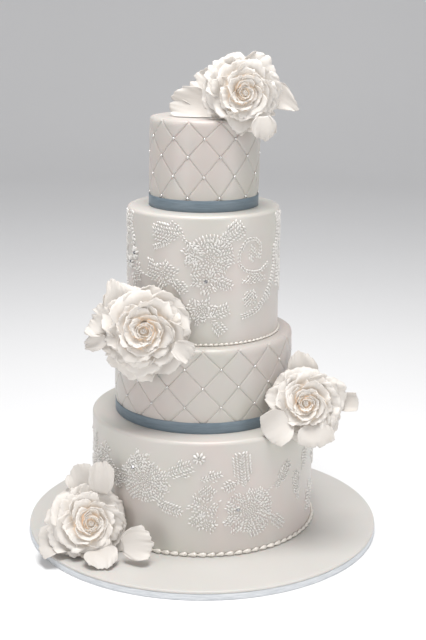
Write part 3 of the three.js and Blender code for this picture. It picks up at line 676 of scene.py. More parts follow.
def dried_petal(name, colour, heart):
    """Thin dull sugar paste with fine veins, with painted warm shade and a painted glow deep in the flower"""
    material, tree, shader = new_finish(
        name, colour, 0.55, Subsurface_Weight=0.12, Subsurface_Scale=0.003,
        Subsurface_Radius=(1.0, 0.85, 0.7), Sheen_Weight=0.08, Sheen_Roughness=0.6,
        Emission_Color=tinted(heart, 1.2, 1.45, 1.7))
    # heart is how deep a point lies in the rose's recesses; it paints warm shade into the base colour
    deep = out(add_node(tree, "ShaderNodeAttribute", attribute_name="heart"), "Fac")
    patchy = math_node(tree, "MULTIPLY", deep, object_noise(tree, 60.0, detail=2.0))
    warm = colour_ramp(tree, patchy, [(0.06, colour), (0.5, heart)])
    tree.links.new(warm, shader.inputs["Base Color"])
    # painted glow: emission round the heart stands in for light coming through the thin petals
    tree.links.new(math_node(tree, "MULTIPLY", deep, 0.3), shader.inputs["Emission Strength"])
    where = out(add_node(tree, "ShaderNodeTexCoord"), "UV")
    stretched = add_node(tree, "ShaderNodeMapping", {"Vector": where, "Scale": (26.0, 1.6, 1.0)})
    veins = add_node(tree, "ShaderNodeTexNoise", {"Vector": out(stretched), "Scale": 1.0, "Detail": 3.0})
    soft = link_bump(tree, shader, out(veins, "Fac"), 0.22, 0.0006)
    link_bump(tree, shader, object_noise(tree, 800.0, detail=2.0), 0.12, 0.0002, before=soft)
    return material


def pressed_card(name, colour):
    material, tree, shader = new_finish(name, colour, 0.75)
    toned(tree, shader, colour, object_noise(tree, 220.0, detail=4.0),
          (0.3, 0.92, 0.92, 0.92), (0.7, 1.03, 1.03, 1.02))
    link_bump(tree, shader, object_noise(tree, 500.0), 0.3, 0.0003)
    return material


def finish(kind):
    """The named finish, made once; no name is that of a slot carried over from the CAD"""
    known = bpy.data.materials.get(kind)
    if known:
        return known
    colours = bpy.context.scene.cake_colours
    makers = {
        "pearly_tier_icing": lambda: pearly_icing(kind, tuple(colours.icing), 0.42),
        "pearly_lace_icing": lambda: pearly_icing(kind, tuple(colours.lace_icing), 0.4),
        "matt_board_icing": lambda: matt_icing(kind, tuple(colours.board_icing)),
        "piped_lace": lambda: piped_icing(kind, tuple(colours.lace), 0.34),
        "piped_border": lambda: piped_icing(kind, tuple(colours.border), 0.36),
        "slate_ribbon": lambda: satin_ribbon(kind, tuple(colours.satin), 0.42),
        "board_satin": lambda: satin_ribbon(kind, tuple(colours.silver_satin), 0.36),
        "silver_pearl": lambda: silver_pearl(kind, tuple(colours.pearl)),
        "cut_crystal": lambda: cut_crystal(kind, tuple(colours.crystal)),
        "dried_petal": lambda: dried_petal(kind, tuple(colours.petal), tuple(colours.petal_recess_shade)),
        # painted shade: the loose petals are the rose petals' colour darkened for the light they catch lying
        # open
        "loose_petal": lambda: dried_petal(
            kind, tinted(colours.petal, *[LOOSE_PETAL_PAINTED_SHADE] * 3), tuple(colours.petal_recess_shade)),
        "pressed_card": lambda: pressed_card(kind, (0.66, 0.64, 0.61, 1.0)),
    }
    return makers[kind]()


# Board


def board_icing_profile():
    edge = rounded_edge(BOARD_RADIUS, BOARD_HEIGHT, BOARD_EDGE_ROUNDING)
    return [(0.0, BOARD_CORE_HEIGHT), (BOARD_RADIUS - 0.5, BOARD_CORE_HEIGHT),
            (BOARD_RADIUS, BOARD_CORE_HEIGHT + 0.4), *edge, (BOARD_RADIUS - 12.0, BOARD_HEIGHT),
            (TIER_RADII[0] + 5.0, BOARD_HEIGHT), (0.0, BOARD_HEIGHT)]


def band_shape(radius, foot, height, thickness, segments, ripple):
    """A ribbon wound round the cake's axis, with soft edges and a slight ripple"""
    outline = [(-thickness, 0.0), (-0.25, 0.0), (0.0, 0.35), (0.0, height * 0.33), (0.0, height * 0.66),
               (0.0, height - 0.35), (-0.25, height), (-thickness, height)]
    angles = np.arange(segments) * 360.0 / segments
    rings = []
    for angle in angles:
        turn = math.radians(angle)
        wave = ripple * (math.sin(5 * turn + 1.0) + 0.6 * math.sin(11 * turn + 2.0)) / 1.6
        rings.append([around_cake(angle, radius + out_by + wave * 0.5 - ripple * 0.5, foot + up)
                      for out_by, up in outline])
    count = len(outline)
    faces = grid_faces(segments, count, closed=True)
    for column in range(segments):
        here, after = column * count, (column + 1) % segments * count
        faces.append((here, here + count - 1, after + count - 1, after))
    return np.array(rings).reshape(-1, 3), faces


class CAKE_OT_board(bpy.types.Operator):
    """Makes the iced board with its satin ribbon"""

    bl_idname = "cake.board"
    bl_label = "Board"

    def execute(self, context):
        points, faces = turned_shape(board_icing_profile(), BOARD_SEGMENTS)
        points[:, 1] -= CAKE_SETBACK
        place_piece(new_piece("board_iced_top", points, faces, sharp_angle=50),
                    finish("matt_board_icing"), "board_icing", "board_icing")
        points, faces = band_shape(BOARD_RADIUS, RIBBON_FOOT, BOARD_CORE_HEIGHT - 2 * RIBBON_FOOT,
                                   thickness=0.8, segments=BOARD_SEGMENTS, ripple=0.05)
        points[:, 1] -= CAKE_SETBACK
        place_piece(new_piece("board_satin_ribbon", points, faces, sharp_angle=50),
                    finish("board_satin"), "silver_satin", "board_ribbon")
        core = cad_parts["board_drum"]
        core.data.materials.clear()
        core.data.materials.append(finish("pressed_card"))
        return {"FINISHED"}


# Tiers


def plain_tier_profile(number):
    radius, height, base = TIER_RADII[number - 1], TIER_HEIGHTS[number - 1], tier_base(number)
    edge = [(out_by, base + up) for out_by, up in rounded_edge(radius, height, SHOULDER_ROUNDING)]
    wall = [(radius, base + height * share) for share in (0.0, 0.2, 0.4, 0.6, 0.8)]
    return [(0.0, base), *wall, *edge, (radius * 0.6, base + height), (0.0, base + height)]


class CAKE_OT_laced_tiers(bpy.types.Operator):
    """Makes the plain bodies of the bottom and third tiers"""

    bl_idname = "cake.laced_tiers"
    bl_label = "Laced Tiers"

    def execute(self, context):
        for number in (1, 3):
            points, faces = turned_shape(plain_tier_profile(number))
            place_piece(new_piece(f"tier_{number}_icing", points, faces, sharp_angle=50),
                        finish("pearly_lace_icing"), "lace_icing", f"tier_{number}")
        return {"FINISHED"}


def quilt_row_height(quilt, row):
    rows = quilt["rows"]
    if row < 0:
        return rows[0] - (rows[1] - rows[0])
    if row >= len(rows):
        return rows[-1] + (rows[-1] - rows[-2])
    return rows[row]


def quilt_profile(radius, height, climb):
    """Radius and height of the tier's surface after climbing so far up its side"""
    wall = height - SHOULDER_ROUNDING
    arc = SHOULDER_ROUNDING * math.pi / 2
    bend = np.clip((climb - wall) / SHOULDER_ROUNDING, 0.0, math.pi / 2)
    inward = np.clip(climb - wall - arc, 0.0, QUILT_INSET)
    out_by = radius - SHOULDER_ROUNDING * (1.0 - np.cos(bend)) - inward
    up = np.minimum(climb, wall) + SHOULDER_ROUNDING * np.sin(bend)
    return out_by, up


def ribbon_seat(climb):
    """How far the quilting is pulled in under the ribbon's upper edge"""
    start, end = SEAT_ABOVE_RIBBON
    return -SEAT_DEPTH * (1.0 - smooth_step(RIBBON_HEIGHT + start, RIBBON_HEIGHT + end, climb))


def quilt_relief(sizes, distance, climb, height):
    """How far the surface lies off the plain tier, by its distance from the nearest groove"""
    groove = -sizes.groove_depth / MM * (1.0 - smooth_step(0.0, GROOVE_HALF_WIDTH, distance))
    puff = sizes.quilt_puff / MM * smooth_step(0.0, PUFF_REACH, distance)
    fade = 1.0 - smooth_step(height - QUILT_FADE, height + QUILT_FADE, climb)
    return (groove + puff) * fade + ribbon_seat(climb)


def diamond_cell(quilt, radius, height, column, row, sizes):
    """The points of one diamond between four crossings"""
    step = 180.0 / quilt["around"]
    shares = np.array(QUILT_RINGS + tuple(1.0 - s for s in QUILT_RINGS[-2::-1]))
    u, v = np.meshgrid(shares, shares, indexing="ij")
    angle = quilt["phase"] + step * (column + (u - v))
    low, mid, high = (quilt_row_height(quilt, row + k) for k in (-1, 0, 1))
    climb = low * (1 - u) * (1 - v) + mid * (u * (1 - v) + (1 - u) * v) + high * u * v
    side = math.hypot(math.radians(step) * radius, (high - low) / 2)
    across = 2 * math.radians(step) * radius * (high - low) / 2 / side
    distance = across * np.minimum(np.minimum(u, 1 - u), np.minimum(v, 1 - v))
    out_by, up = quilt_profile(radius, height, climb)
    relief = quilt_relief(sizes, distance, climb, height)
    facing_up = np.clip((climb - height + SHOULDER_ROUNDING) / SHOULDER_ROUNDING, 0.0, math.pi / 2)
    return around_cake(angle, out_by + relief * np.cos(facing_up), up + relief * np.sin(facing_up))


def quilted_shape(number, sizes):
    """The quilted tier: all its diamonds, trimmed at the base and closed over the top"""
    quilt, radius, height = QUILTS[number], TIER_RADII[number - 1], TIER_HEIGHTS[number - 1]
    top_row = len(quilt["rows"]) - 1
    count = 2 * len(QUILT_RINGS) - 1
    shell = bmesh.new()
    for row in range(top_row + 1):
        for column in range((row + top_row + 1) % 2, quilt["around"] * 2, 2):
            cell = diamond_cell(quilt, radius, height, column, row, sizes).reshape(-1, 3)
            corners = [shell.verts.new(point) for point in cell]
            for face in grid_faces(count, count):
                shell.faces.new([corners[index] for index in face])
    bmesh.ops.remove_doubles(shell, verts=shell.verts[:], dist=0.01)
    inner = radius - SHOULDER_ROUNDING - QUILT_INSET + 0.01
    spent = [face for face in shell.faces
             if all(math.hypot(corner.co.x, corner.co.y - CAKE_SETBACK) < inner for corner in face.verts)]
    bmesh.ops.delete(shell, geom=spent, context="FACES")
    bmesh.ops.bisect_plane(shell, geom=shell.verts[:] + shell.edges[:] + shell.faces[:], dist=0.001,
                           plane_co=(0, 0, 0), plane_no=(0, 0, 1), clear_inner=True)
    close_rims(shell, height)
    bmesh.ops.recalc_face_normals(shell, faces=shell.faces[:])
    shell.verts.index_update()
    points = np.array([vertex.co[:] for vertex in shell.verts])
    faces = [[vertex.index for vertex in face.verts] for face in shell.faces]
    shell.free()
    base = tier_base(number)
    points[:, 2] += base
    return (leaned(points, base) if number == 4 else points), faces


def close_rims(shell, height):
    """Closes the open top rim through two rings to the middle, and the base with a flat fan"""
    rims = [edge for edge in shell.edges if edge.is_boundary]
    upper = [edge for edge in rims if edge.verts[0].co.z > height / 2]
    lower = [edge for edge in rims if edge.verts[0].co.z <= height / 2]
    for edges, level, shares in ((upper, height, (0.6, 0.3)), (lower, 0.0, (0.5,))):
        for share in shares:
            made = bmesh.ops.extrude_edge_only(shell, edges=edges)["geom"]
            edges = [part for part in made if isinstance(part, bmesh.types.BMEdge) and part.is_boundary]
            for vertex in {vertex for edge in edges for vertex in edge.verts}:
                flat = Vector((vertex.co.x, vertex.co.y - CAKE_SETBACK))
                flat = flat.normalized() * share * 60.0
                vertex.co = (flat.x, flat.y + CAKE_SETBACK, level)
        hub = shell.verts.new((0.0, CAKE_SETBACK, level))
        for edge in edges:
            shell.faces.new((edge.verts[0], edge.verts[1], hub))


def crossing_points(number):
    """Angles and heights of the quilting's crossings that show above the ribbon"""
    quilt = QUILTS[number]
    top_row = len(quilt["rows"]) - 1
    step = 180.0 / quilt["around"]
    places = []
    for row, height in enumerate(quilt["rows"]):
        if height < RIBBON_HEIGHT + 2.0 or height > TIER_HEIGHTS[number - 1] - 4.0:
            continue
        for column in range((row + top_row) % 2, quilt["around"] * 2, 2):
            places.append((quilt["phase"] + step * column, height))
    return places


class CAKE_OT_quilted_tiers(bpy.types.Operator):
    """Makes the quilted second and top tiers with a pearl at each crossing"""

    bl_idname = "cake.quilted_tiers"
    bl_label = "Quilted Tiers"

    def execute(self, context):
        sizes = context.scene.cake_sizes
        tree = pearl_tree()
        for number in (2, 4):
            points, faces = quilted_shape(number, sizes)
            place_piece(new_piece(f"tier_{number}_quilted_icing", points, faces),
                        finish("pearly_tier_icing"), "tier_icing", f"tier_{number}")
            base = tier_base(number)
            places = np.array([around_cake(angle, TIER_RADII[number - 1] + 0.1 + ribbon_seat(up), base + up)
                               for angle, up in crossing_points(number)])
            if number == 4:
                places = leaned(places, base)
            start = new_piece("pearl_places", places, [])
            pearls = grown(f"tier_{number}_pearls", tree, start, {
                "Diameter": sizes.pearl_diameter, "Material": finish("silver_pearl")})
            place_piece(pearls, finish("silver_pearl"), "tier_icing", f"tier_{number}")
        return {"FINISHED"}


class CAKE_OT_ribbons(bpy.types.Operator):
    """Winds the slate satin ribbons round the quilted tiers"""

    bl_idname = "cake.ribbons"
    bl_label = "Satin Ribbons"

    def execute(self, context):
        for number in (2, 4):
            base = tier_base(number)
            points, faces = band_shape(TIER_RADII[number - 1] + RIBBON_OUT, base + RIBBON_FOOT,
                                       RIBBON_HEIGHT, RIBBON_THICKNESS, ROUND_SEGMENTS, ripple=0.12)
            if number == 4:
                points = leaned(points, base)
            place_piece(new_piece(f"tier_{number}_satin_ribbon", points, faces, sharp_angle=50),
                        finish("slate_ribbon"), "slate_satin", f"ribbon_{number}")
        return {"FINISHED"}


class CAKE_OT_borders(bpy.types.Operator):
    """Pipes the bead borders round the laced tiers"""

    bl_idname = "cake.borders"
    bl_label = "Bead Borders"

    def execute(self, context):
        tree = border_tree()
        for number in (1, 3):
            border = BORDERS[number]
            start = new_piece("border_start", [(0, 0, 0)], [])
            piped = grown(f"tier_{number}_bead_border", tree, start, {
                "Beads": border["beads"], "Radius": TIER_RADII[number - 1] * MM,
                "Base": tier_base(number) * MM, "Setback": CAKE_SETBACK * MM,
                "Height": border["height"] * MM, "Depth": border["depth"] * MM,
                "Seed": context.scene.cake_sizes.seed + number, "Material": finish("piped_border")})
            place_piece(piped, finish("piped_border"), "border_icing", f"border_{number}")
        return {"FINISHED"}


# Piped lace. A bead is (across, up, slant, size, round) and a crystal (angle, up).


class LaceDrawing:
    """Beads drawn flat on one tier's side, in millimetres across from its front line and up"""

    def __init__(self, radius, seed):
        self.radius = radius
        self.seed = seed
        self.beads = []
        self.crystals = []

    def across(self, angle):
        return math.radians(angle) * self.radius

    def add(self, across, up, slant, size, is_round=False):
        count = len(self.beads) + self.seed * 1000
        self.beads.append((across + 0.35 * vary(count, 1), up + 0.35 * vary(count, 2),
                           slant + 9.0 * vary(count, 3), size * (1.0 + 0.12 * vary(count, 4)), is_round))

    def flower(self, angle, up, reaches, lobes=6, heart=1):
        """A blossom of leaf-like petals round a heart of round beads; reaches are right, top, left, low"""
        middle = self.across(angle)
        for lobe in range(lobes):
            way = 360.0 * (lobe + 0.2 * vary(self.seed, lobe + up)) / lobes + 15 * self.seed
            reach = flower_reach(reaches, way) * (1.0 + 0.1 * vary(lobe, up))
            turn = math.radians(way)
            root = min(3.0 + 2.6 * heart, 0.45 * reach)
            self.petal((middle + root * math.cos(turn), up + root * math.sin(turn)),
                       (middle + reach * math.cos(turn), up + reach * math.sin(turn)),
                       1.25 * reach * math.sin(math.pi / lobes))
        for ring in range(heart + 1):
            for bead in range(max(1, 6 * ring)):
                turn = math.radians(60.0 * bead / max(1, ring) + 20 * ring)
                self.add(middle + 3.0 * ring * math.cos(turn), up + 3.0 * ring * math.sin(turn), 0, 1.0, True)

    def petal(self, foot, tip, spread):
        """Slanting grains side by side on both sides of a midrib, given in millimetres"""
        along = (tip[0] - foot[0], tip[1] - foot[1])
        length = math.hypot(*along)
        heading = math.degrees(math.atan2(along[1], along[0]))
        ahead = (along[0] / length, along[1] / length)
        for station in range(max(1, round(length / GRAIN_STEP))):
            share = (station + 0.5) * GRAIN_STEP / length
            width = spread * math.sin(math.pi * (0.16 + 0.76 * min(share, 1.0)))
            for side in (-1, 1):
                for lane in range(max(1, int((width + 2.2) / GRAIN_LANE))):
                    across = (FIRST_LANE + GRAIN_LANE * lane) * side
                    reach = share * length + 0.75 * abs(across) - 1.5
                    x = foot[0] + ahead[0] * reach - ahead[1] * across
                    z = foot[1] + ahead[1] * reach + ahead[0] * across
                    self.add(x, z, heading + (46 - 7 * lane) * side, 1.0, vary(x, z) > 0.72)

    def leaf(self, foot, tip, spread, stem=True):
        """A leaf of slanting grains, its ends given as angles and heights, with a beaded midrib"""
        foot, tip = ((self.across(end[0]), end[1]) for end in (foot, tip))
        self.petal(foot, tip, spread)
        if stem:
            length = math.hypot(tip[0] - foot[0], tip[1] - foot[1])
            heading = math.degrees(math.atan2(tip[1] - foot[1], tip[0] - foot[0]))
            for dot in range(int(length / MIDRIB_STEP)):
                share = dot * MIDRIB_STEP / length
                self.add(mixed(foot[0], tip[0], share), mixed(foot[1], tip[1], share), heading, 0.6)

    def patch(self, angle, up, half_across, half_up, heading=90.0, rounds=0.0):
        """An oval filled with staggered grains, some of them round"""
        middle = self.across(angle)
        lanes, steps = int(half_across / PATCH_LANE), int(half_up / PATCH_STEP)
        for lane in range(-lanes, lanes + 1):
            for step in range(-steps, steps + 1):
                x, z = lane * PATCH_LANE, (step + 0.5 * (lane % 2)) * PATCH_STEP
                if (x / half_across) ** 2 + (z / half_up) ** 2 > 1.0:
                    continue
                chance = 0.5 + 0.5 * vary(lane * 31 + step, 8)
                self.add(middle + x, up + z, heading + 26 * vary(lane, 7), 0.88, chance < rounds)

    def star(self, angle, up, reach, rays=6):
        """A small blossom: a round bead with rays"""
        middle = self.across(angle)
        self.add(middle, up, 0, 1.1, True)
        for ray in range(rays):
            way = 360.0 * ray / rays + 17
            self.add(middle + reach * 0.62 * math.cos(math.radians(way)),
                     up + reach * 0.62 * math.sin(math.radians(way)), way, reach / 6.0)

    def scroll(self, places, lanes=(0.0,), size=0.6, spacing=4.6):
        """Small beads in one or more lanes along a smooth line through the given places"""
        line = smooth_line([(self.across(angle), up) for angle, up in places])
        travelled = np.concatenate([[0.0], np.cumsum(np.hypot(*np.diff(line, axis=0).T))])
        for step in range(int(travelled[-1] / spacing)):
            at = step * spacing
            x, z = (np.interp(at, travelled, line[:, axis]) for axis in (0, 1))
            ahead_x, ahead_z = (np.interp(at + 1.0, travelled, line[:, axis]) for axis in (0, 1))
            heading = math.atan2(ahead_z - z, ahead_x - x)
            for lane in lanes:
                self.add(x - lane * math.sin(heading), z + lane * math.cos(heading),
                         math.degrees(heading) + 24 * (1 if lane > 0 else -1), size)

    def crystal(self, angle, up):
        self.crystals.append((angle, up))


def flower_reach(reaches, way):
    """How far a flower reaches in one direction"""
    right, top, left, low = reaches
    turn = math.radians(way)
    sideways = right if math.cos(turn) > 0 else left
    upright = top if math.sin(turn) > 0 else low
    return mixed(sideways, upright, abs(math.sin(turn)) ** 1.4)


def smooth_line(places, parts=12):
    """Points of a smooth line through the given places"""
    ends = [places[0], *places, places[-1]]
    line = []
    for index in range(1, len(ends) - 2):
        before, start, end, after = (np.array(ends[index + k]) for k in (-1, 0, 1, 2))
        for part in range(parts):
            t = part / parts
            line.append(0.5 * (2 * start + (end - before) * t
                               + (2 * before - 5 * start + 4 * end - after) * t * t
                               + (3 * start - before - 3 * end + after) * t ** 3))
    line.append(np.array(places[-1]))
    return np.array(line)


def upper_lace():
    """The third tier's lace"""
    lace = LaceDrawing(TIER_RADII[2], 3)
    lace.leaf((-17, 146), (-38.5, 151), 14)
    lace.leaf((-24, 138), (-39, 127), 6)
    lace.scroll([(-22.7, 163), (-16.7, 155), (-13.5, 141.5), (-6.5, 131.8)], lanes=(-1.6, 1.6), size=0.8)
    lace.leaf((14, 139), (30, 158), 13)
    lace.flower(5.4, 117, (31, 24, 31, 24), lobes=9, heart=2)
    for ray in range(13):
        way = 38 + ray * 9.0
        for distance in (24.5, 29.5):
            lace.add(lace.across(6.0) + distance * math.cos(math.radians(way)),
                     117 + distance * math.sin(math.radians(way)), way, 1.05)
    lace.flower(-8, 122, (9, 13, 11, 15), lobes=5)
    lace.flower(2.4, 86.9, (15, 12, 17, 15), lobes=6)
    lace.leaf((8, 90), (21.5, 78), 10, stem=False)
    lace.crystal(2.4, 86.9)
    lace.flower(-30, 95, (20, 15, 24, 16), lobes=6)
    lace.leaf((-21, 88), (-12, 71), 9)
    lace.flower(-0.8, 48, (17, 16, 19, 15), lobes=7, heart=3)
    lace.scroll([(-3.5, 38), (-4.5, 31), (-4.5, 23)], lanes=(-1.6, 1.6), size=0.8)
    lace.leaf((5, 41), (20.5, 51), 9)
    lace.leaf((7, 35), (15.5, 16), 10)
    lace.scroll([(45.5, 113), (46.3, 127), (42.5, 137.4), (34.3, 138), (29.1, 127.4), (27, 117.4),
                 (28, 106), (33.8, 97.6), (44, 94), (51.7, 98.8), (58.8, 107.3)],
                lanes=(-1.7, 1.7), size=0.85)
    lace.patch(39, 119, 7, 13, rounds=0.6)
    lace.patch(41, 85, 22, 7, heading=20, rounds=0.35)
    lace.scroll([(66, 124), (65, 98), (60.7, 78), (52.4, 57), (41, 42), (27, 36)],
                lanes=(-3.0, 0.0, 3.0), size=0.9)
    lace.patch(37, 60, 12, 11, heading=60, rounds=0.4)
    lace.leaf((52, 66), (59, 54), 6, stem=False)
    lace.scroll([(70, 166), (73, 145), (70, 118), (74, 95), (71, 62)], lanes=(-4.5, -1.5, 1.5, 4.5), size=0.9)
    lace.flower(82, 148, (10, 16, 10, 16), lobes=4)
    lace.flower(84, 82, (10, 18, 10, 18), lobes=4)
    lace.scroll([(-64, 167), (-66, 150), (-62, 132), (-66, 118)], lanes=(-4.0, -1.0, 2.0), size=0.9)
    lace.star(-60.5, 114, 9, rays=8)
    lace.crystal(-60.5, 114)
    lace.star(-67.7, 100, 9, rays=8)
    lace.crystal(-67.7, 100)
    lace.flower(-56, 90, (9, 10, 10, 10), lobes=4)
    lace.scroll([(-64, 84), (-61, 70), (-66, 55)], lanes=(-3.0, 0.0, 3.0), size=0.9)
    lace.flower(-77, 150, (9, 16, 9, 14), lobes=4)
    lace.flower(-84, 115, (9, 18, 9, 16), lobes=4)
    lace.flower(-86, 66, (8, 14, 8, 14), lobes=4)
    return lace


def lower_lace():
    """The bottom tier's lace"""
    lace = LaceDrawing(TIER_RADII[0], 5)
    lace.flower(-57.5, 121, (11, 12, 13, 12), lobes=4)
    lace.leaf((-56, 116), (-44, 80), 12, stem=False)
    lace.flower(-65, 101, (11, 12, 12, 13), lobes=4)
    lace.flower(-29.5, 100, (34, 30, 37, 30), lobes=10, heart=3)
    lace.flower(-31, 126, (16, 11, 17, 12), lobes=5)
    lace.crystal(-35.8, 114.5)
    lace.leaf((-22, 71), (-9.5, 61), 10)
    lace.leaf((-16.5, 113), (-4.5, 128), 12)
    lace.star(-1.2, 138, 9, rays=8)
    lace.leaf((0.0, 108), (9.5, 116), 7)
    lace.patch(2.8, 92, 13, 9, heading=70, rounds=0.3)
    lace.flower(1.5, 70, (15, 15, 17, 14), lobes=5)
    lace.leaf((1, 60), (-6, 44), 8)
    lace.flower(2.6, 45, (11, 10, 11, 10), lobes=6)
    lace.leaf((21, 96), (19.2, 145), 15)
    lace.leaf((18, 104), (10.5, 94), 9)
    lace.flower(24, 60, (34, 31, 34, 35), lobes=10, heart=3)
    lace.crystal(17.9, 63.9)
    lace.leaf((36, 47), (45, 26), 9)
    lace.scroll([(35, 84), (38, 88), (41, 95)], size=0.7)
    lace.leaf((40, 84), (49, 118), 9)
    lace.leaf((57, 54), (54.5, 98), 9)
    lace.leaf((62, 92), (66, 128), 8)
    lace.flower(73, 44, (12, 18, 12, 18), lobes=4)
    lace.flower(84, 105, (12, 24, 12, 20), lobes=5)
    lace.flower(-77, 70, (14, 22, 14, 20), lobes=5)
    lace.leaf((-72, 96), (-70, 140), 9)
    return lace


def repeated(entries):
    """The columns of a drawing's entries, once for each time that it goes round the tier"""
    return [np.tile(np.array(part, dtype=float), len(LACE_REPEATS)) for part in zip(*entries)]


def lace_start(lace, number):
    """The lace's beads as points on the tier's side"""
    across, up, slant, size, is_round = repeated(lace.beads)
    angles = np.degrees(across / lace.radius) + np.repeat(LACE_REPEATS, len(lace.beads))
    places = around_cake(angles, lace.radius + 0.1, tier_base(number) + up)
    start = new_piece("lace_places", places, [], values={
        "angle": np.radians(angles), "slant": np.radians(slant), "size": size})
    rounds = start.data.attributes.new("round", "BOOLEAN", "POINT")
    rounds.data.foreach_set("value", is_round.astype(bool))
    return start


def crystal_start(lace, number):
    """The lace's crystals as points on the tier's side"""
    angles, up = repeated(lace.crystals)
    angles += np.repeat(LACE_REPEATS, len(lace.crystals))
    places = around_cake(angles, lace.radius + 1.2, tier_base(number) + up)
    return new_piece("crystal_places", places, [], values={
        "angle": np.radians(angles), "slant": np.zeros(len(angles))})


class CAKE_OT_lace(bpy.types.Operator):
    """Pipes the lace of grains and sets its crystals"""

    bl_idname = "cake.lace"
    bl_label = "Piped Lace"

    def execute(self, context):
        sizes = context.scene.cake_sizes
        grains, crystals = grain_tree(), crystal_tree()
        for number, lace in ((1, lower_lace()), (3, upper_lace())):
            piped = grown(f"tier_{number}_piped_lace", grains, lace_start(lace, number), {
                "Length": sizes.grain_length, "Width": sizes.grain_width, "Rise": sizes.grain_rise,
                "Seed": sizes.seed, "Material": finish("piped_lace")})
            place_piece(piped, finish("piped_lace"), "lace_icing", f"tier_{number}")
            cut = grown(f"tier_{number}_crystals", crystals, crystal_start(lace, number), {
                "Diameter": sizes.crystal_diameter, "Material": finish("cut_crystal")})
            place_piece(cut, finish("cut_crystal"), "lace_icing", f"tier_{number}")
        return {"FINISHED"}


# Sugar petals


def petal_line(petal, distance):
    """Where a petal's middle line is after some distance, bending steadily as it goes"""
    steps = 12
    radius = np.full_like(distance, petal["base_radius"])
    rise = np.full_like(distance, petal["base_height"])
    for step in range(steps + 1):
        share = (step + 0.5) / steps if step < steps else 1.0
        tilt = np.radians(mixed(petal["start_tilt"], petal["end_tilt"], share * distance / petal["length"]))
        if step < steps:
            radius = radius + np.sin(tilt) * distance / steps
            rise = rise + np.cos(tilt) * distance / steps
    return radius, rise, tilt


def petal_surface(petal, side, along):
    """Points of a petal's middle surface: side from -1 to 1 across, along from 0 to 1 outward"""
    shift = petal["shift"]
    bays = sum(depth * np.sin(side * pace + shift * turn)
               for depth, pace, turn in ((1.0, 3.4, 3), (0.5, 8.0, 5), (0.35, 19.0, 7), (0.3, 37.0, 9)))
    tears = sum(np.maximum(0.0, 1.0 - np.abs(side - vary(shift, 20 + tear)) / 0.11) for tear in range(3))
    ragged = 1.0 + petal["nick"] * (bays - 1.6 * tears) * along ** 3
    round_tip = (1 - 0.2 * side * side + petal["point"] * (1 - np.abs(side))) * ragged
    radius, rise, tilt = petal_line(petal, petal["length"] * along * round_tip)
    swell = 0.4 + 0.6 * np.sin(np.pi * np.minimum(0.5, along * 0.8))
    half_width = petal["width"] / 2 * swell * (1 - 1.5 * petal["point"] * along ** 2)
    wrap = mixed(petal["wrap_base"], petal["wrap_tip"], along)
    across = wrap * np.sin(side * half_width / wrap)
    cup = wrap * (1 - np.cos(side * half_width / wrap))
    wave = np.sin(side * petal["waves"] * np.pi + shift)
    ruffle = petal["ruffle"] * along ** 2 * wave * (0.35 + 0.65 * np.abs(side))
    edge = np.maximum(np.abs(side), along)
    frill = petal["frill"] * edge ** 5 * (
        np.sin(side * petal["waves"] * 7.5 + along * 5.0 + shift * 2)
        + 0.6 * np.sin(side * petal["waves"] * 15.0 + along * 11.0 + shift * 4))
    roll_back = 0.65 + 0.5 * np.sin(side * 2.6 + shift * 6)
    curl = -petal["curl"] * np.maximum(0.0, along - 0.7) ** 2 * 12.0 * roll_back
    lift = cup + ruffle + frill + curl + petal["skew"] * side * along
    out_by = radius - np.cos(tilt) * lift
    up = rise + np.sin(tilt) * lift
    turn = math.radians(petal["turn"])
    return np.stack([out_by * math.cos(turn) - across * math.sin(turn),
                     out_by * math.sin(turn) + across * math.cos(turn), up], axis=-1)


def clear_of_cake(points, room):
    """Moves points that would lie in a tier or in the board out to its surface"""
    points = points.copy()
    for number in (1, 2, 3, 4):
        radius, base = TIER_RADII[number - 1] + room, tier_base(number)
        top = base + TIER_HEIGHTS[number - 1] + room
        lean = TOP_TIER_LEAN * (points[..., 2] - base) if number == 4 else 0.0
        x, y = points[..., 0] - lean, points[..., 1] - CAKE_SETBACK
        flat = np.maximum(np.hypot(x, y), 1.0)
        deep = radius - flat
        below = top - points[..., 2]
        inside = (deep > 0) & (below > 0) & (points[..., 2] > base - 2.0)
        if number == 4:
            upward = inside & (below < deep)
        else:
            upward = inside & (below < deep) & (flat > TIER_RADII[number] + room)
        outward = inside & ~upward
        points[..., 0] = np.where(outward, points[..., 0] + x / flat * deep, points[..., 0])
        points[..., 1] = np.where(outward, points[..., 1] + y / flat * deep, points[..., 1])
        points[..., 2] = np.where(upward, top, points[..., 2])
    on_board = np.hypot(points[..., 0], points[..., 1]) < BOARD_RADIUS
    points[..., 2] = np.where(on_board, np.maximum(points[..., 2], BOARD_HEIGHT + room), points[..., 2])
    return points


def grid_normals(grid):
    sideways = np.gradient(grid, axis=0)
    outward = np.gradient(grid, axis=1)
    normals = np.cross(outward, sideways)
    return normals / np.maximum(np.linalg.norm(normals, axis=-1, keepdims=True), 1e-9)


def moved(points, matrix):
    """A flower's own points, put in their place on the cake"""
    flat = points.reshape(-1, 3)
    return np.array([(matrix @ Vector(point))[:] for point in flat]).reshape(points.shape)


